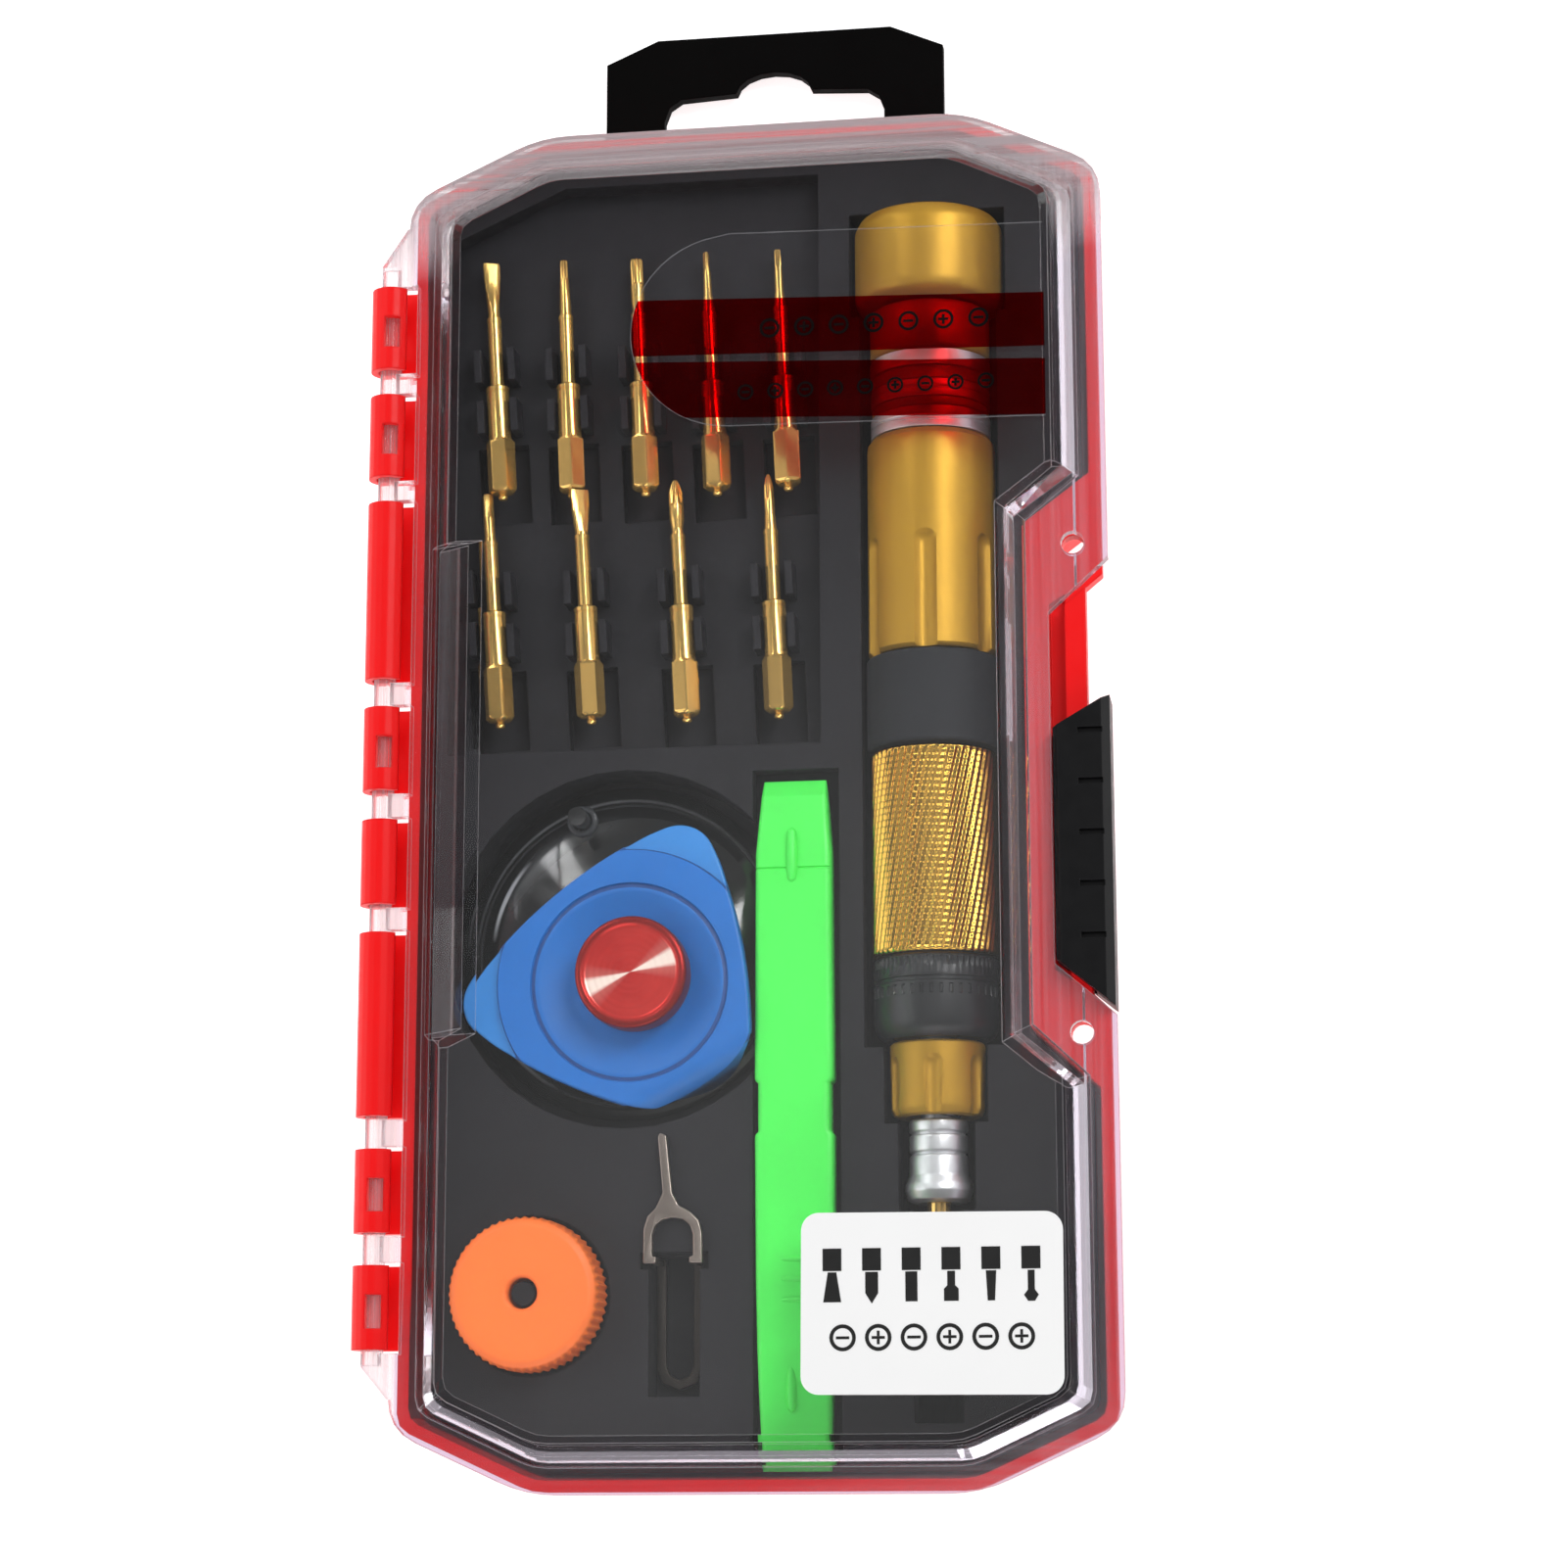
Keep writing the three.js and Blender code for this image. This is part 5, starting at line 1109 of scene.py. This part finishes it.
def spudger_mesh():
    ys = []
    y = 1.3
    marks = [1.3, 1.1, 0.7, 0.2, -0.3, -0.7, -0.9, -1.3, -2, -3, -4, -5, -6, -7, -8, -9, -9.5, -9.7, -9.8, -9.95, -10.05, -10.5, -11, -12, -14, -18, -24, -30, -35.4, -35.7, -36.0, -36.3, -39, -41.5, -41.8, -42.1, -42.4, -46,
             -52, -56.6, -56.9, -57.2, -57.5, -59.0, -59.3, -59.6, -59.9, -61.4, -61.7, -62.0, -62.3, -65, -67.6, -68.0, -68.3, -68.8, -69.5, -71, -73, -75, -78, -80, -81, -81.5, -81.7, -81.8]

    def half(y):
        pts = [(1.3, 3.85), (0.0, 4.0), (-8, 4.6), (-35.6, 4.75), (-36.0, 4.35), (-41.8, 4.35), (-42.2, 4.75), (-60, 4.65), (-81.0, 4.2), (-81.8, 4.1)]
        for (ya, ha), (yb, hb) in zip(pts, pts[1:]):
            if ya >= y >= yb:
                return ha + (hb - ha) * (ya - y) / (ya - yb)
        return pts[-1][1]

    def top(y):
        if y > -0.7:
            return 17.7 - (y + 0.7) * 0.55
        if -10.0 < y < -9.75:
            return 18.72
        if y > -10.0:
            return 18.95 - 1.15 * ((y + 10.0) / 9.3) ** 1.6
        if y > -68:
            return 19.0
        return 19.0 - 2.3 * ((-68 - y) / 13.8) ** 1.5

    def bottom(y):
        if y > -4:
            return 15.0 + 0.9 * (y + 4) / 5.3
        if y < -74:
            return 15.0 + 0.6 * (-74 - y) / 7.8
        return 15.0
    rings_ = []
    for y in marks:
        h, zt, zb = half(y), top(y), bottom(y)
        c = min(0.7, (zt - zb) * 0.35)
        ring_ = []
        # cross-section with soft shoulders
        for k in range(7):
            a = math.pi / 2 * k / 6
            ring_.append((SX + h - c + c * math.cos(a), y, zt - c + c * math.sin(a)))
        for k in range(1, 12):
            ring_.append((SX + (h - c) * (1 - 2 * k / 12), y, zt + 0.0))
        for k in range(7):
            a = math.pi / 2 + math.pi / 2 * k / 6
            ring_.append((SX - h + c + c * math.cos(a), y, zt - c + c * math.sin(a)))
        b = min(0.3, c)
        for k in range(4):
            a = math.pi + math.pi / 2 * k / 3
            ring_.append((SX - h + b + b * math.cos(a), y, zb + b + b * math.sin(a)))
        for k in range(4):
            a = 1.5 * math.pi + math.pi / 2 * k / 3
            ring_.append((SX + h - b + b * math.cos(a), y, zb + b + b * math.sin(a)))
        rings_.append(ring_)
    return loft(rings_)


sp = new_object("spudger_body", spudger_mesh(), GREEN, "case", ("spudger",), smooth=42)


def capsule(cx, y0, y1, w, z_base, h, n=20, tail=True):
    """Raised rib along Y with rounded ends, sunk a little in its base."""
    rings_ = []
    m_ = 14
    for i in range(m_ + 1):
        u = i / m_
        y = y0 + (y1 - y0) * u
        k = math.sqrt(max(0.0, 1 - (2 * u - 1) ** 2)) ** 0.6 if 0 < i < m_ else 0.02
        ring_ = []
        for j in range(n):
            t = TAU * j / n
            ring_.append((cx + w / 2 * k * math.cos(t), y, z_base + h * k * math.sin(t)))
        rings_.append(ring_)
    return loft(rings_)


new_object("spudger_rib_upper", capsule(4.5, -4.8, -11.8, 1.5, 18.8, 0.85), GREEN, "case", ())
new_object("spudger_rib_lower", capsule(4.2, -69.4, -75.0, 1.4, 18.3, 0.95), GREEN, "case", ())
for i, y in enumerate((-57.0, -59.4, -61.8)):
    bmr = capsule(0, -2.7, 2.7, 0.7, 0, 0.3)
    bmesh.ops.transform(bmr, matrix=Matrix.Translation((5.6 * MM, y * MM, 18.93 * MM)) @ Matrix.Rotation(math.pi / 2, 4, "Z"), verts=bmr.verts)
    new_object("spudger_grip_line_%d" % (i + 1), bmr, GREEN, "case", ())

# ------------------------------------------------------------------ eject pin
from_cad("eject_pin", PIN, "case", bevel=0.18, segments=3, angle=28)

# ------------------------------------------------------------------ magnetiser
GX, GY = -27.5, -60.9


def teeth(t, r, z):
    if r > 8.6:
        k = min(1.0, max(0.0, (22.6 - z) / 1.2))
        return r - 0.32 * (0.5 - 0.5 * math.cos(56 * t)) ** 0.8 * k
    return r


mag = arc_profile([(1.85, 16.0), (3.2, 16.0), (3.2, 21.0), (7.9, 21.0), (7.9, 16.0), (8.9, 16.0), (9.2, 16.4), (9.2, 21.7), (8.85, 22.5), (8.1, 23.0), (2.15, 23.0), (1.85, 22.7)], 0.25, 4)
mag = [p for p in fine(mag, 0.9)]
new_object("magnetiser_body", turn_z(mag, GX, GY, 448, shape=teeth, close=True), ORANGE, "case", ("magnetizer_body",), smooth=50)
from_cad("magnetizer_ring", MAGNET, "case", bevel=0.1)

# ------------------------------------------------------------------ floor, world and lights
fl = bmesh.new()
bmesh.ops.create_grid(fl, x_segments=4, y_segments=4, size=2.5)
fm = bpy.data.meshes.new("floor")
fl.to_mesh(fm)
fl.free()
floor = bpy.data.objects.new("floor", fm)
floor.location = (0, 0, -0.00005)
scene.collection.objects.link(floor)
nf = Nodes("floor_pale")
pf = nf.principled(Base_Color=nf.ramp(nf.noise(3, 2), [(0.3, (0.60, 0.60, 0.60)), (0.7, (0.62, 0.62, 0.62))]), Roughness=0.9, Specular_IOR_Level=0.05,
                   Emission_Color=(1.0, 1.0, 1.0), Emission_Strength=0.86)
fm.materials.append(nf.finish(pf.outputs[0]))

world = bpy.data.worlds.new("studio")
scene.world = world
world.use_nodes = True
wt = world.node_tree
wt.nodes.clear()
wo = wt.nodes.new("ShaderNodeOutputWorld")
bg = wt.nodes.new("ShaderNodeBackground")
tc = wt.nodes.new("ShaderNodeTexCoord")
sx = wt.nodes.new("ShaderNodeSeparateXYZ")
mr = wt.nodes.new("ShaderNodeValToRGB")
wt.links.new(tc.outputs["Generated"], sx.inputs[0])
wt.links.new(sx.outputs[2], mr.inputs[0])
els = mr.color_ramp.elements
for i, (p_, v_) in enumerate(((0.25, 0.95), (0.80, 0.14), (0.915, 0.08), (0.95, 0.22), (0.978, 0.52), (1.0, 0.45))):
    e_ = els[i] if i < 2 else els.new(p_)
    e_.position = p_
    e_.color = (v_, v_, v_, 1)
wt.links.new(mr.outputs[0], bg.inputs[0])
bg.inputs[1].default_value = 1.0
wt.links.new(bg.outputs[0], wo.inputs[0])


def area(name, loc, target, size, power, size_y=None, spread=math.pi):
    d = bpy.data.lights.new(name, "AREA")
    d.energy = power
    d.shape = "RECTANGLE"
    d.size = size
    d.size_y = size_y or size
    d.spread = spread
    o = bpy.data.objects.new(name, d)
    o.location = loc
    v = Vector(target) - Vector(loc)
    o.rotation_euler = v.to_track_quat("-Z", "Y").to_euler()
    scene.collection.objects.link(o)
    return o


area("key", (0.42, 0.34, 0.62), (0, 0, 0), 0.16, 2.5, 0.5)
area("fill_left", (-0.47, 0.50, 0.62), (0, 0, 0), 0.10, 1.1, 0.55)
area("side", (-0.75, -0.1, 0.5), (0, 0, 0), 0.5, 1.8, 0.7)
area("front", (0.1, -0.95, 0.5), (0, 0, 0), 0.8, 2.4, 0.4)
scene.view_settings.view_transform = "Standard"
scene.view_settings.look = "None"
scene.view_settings.exposure = 0.0
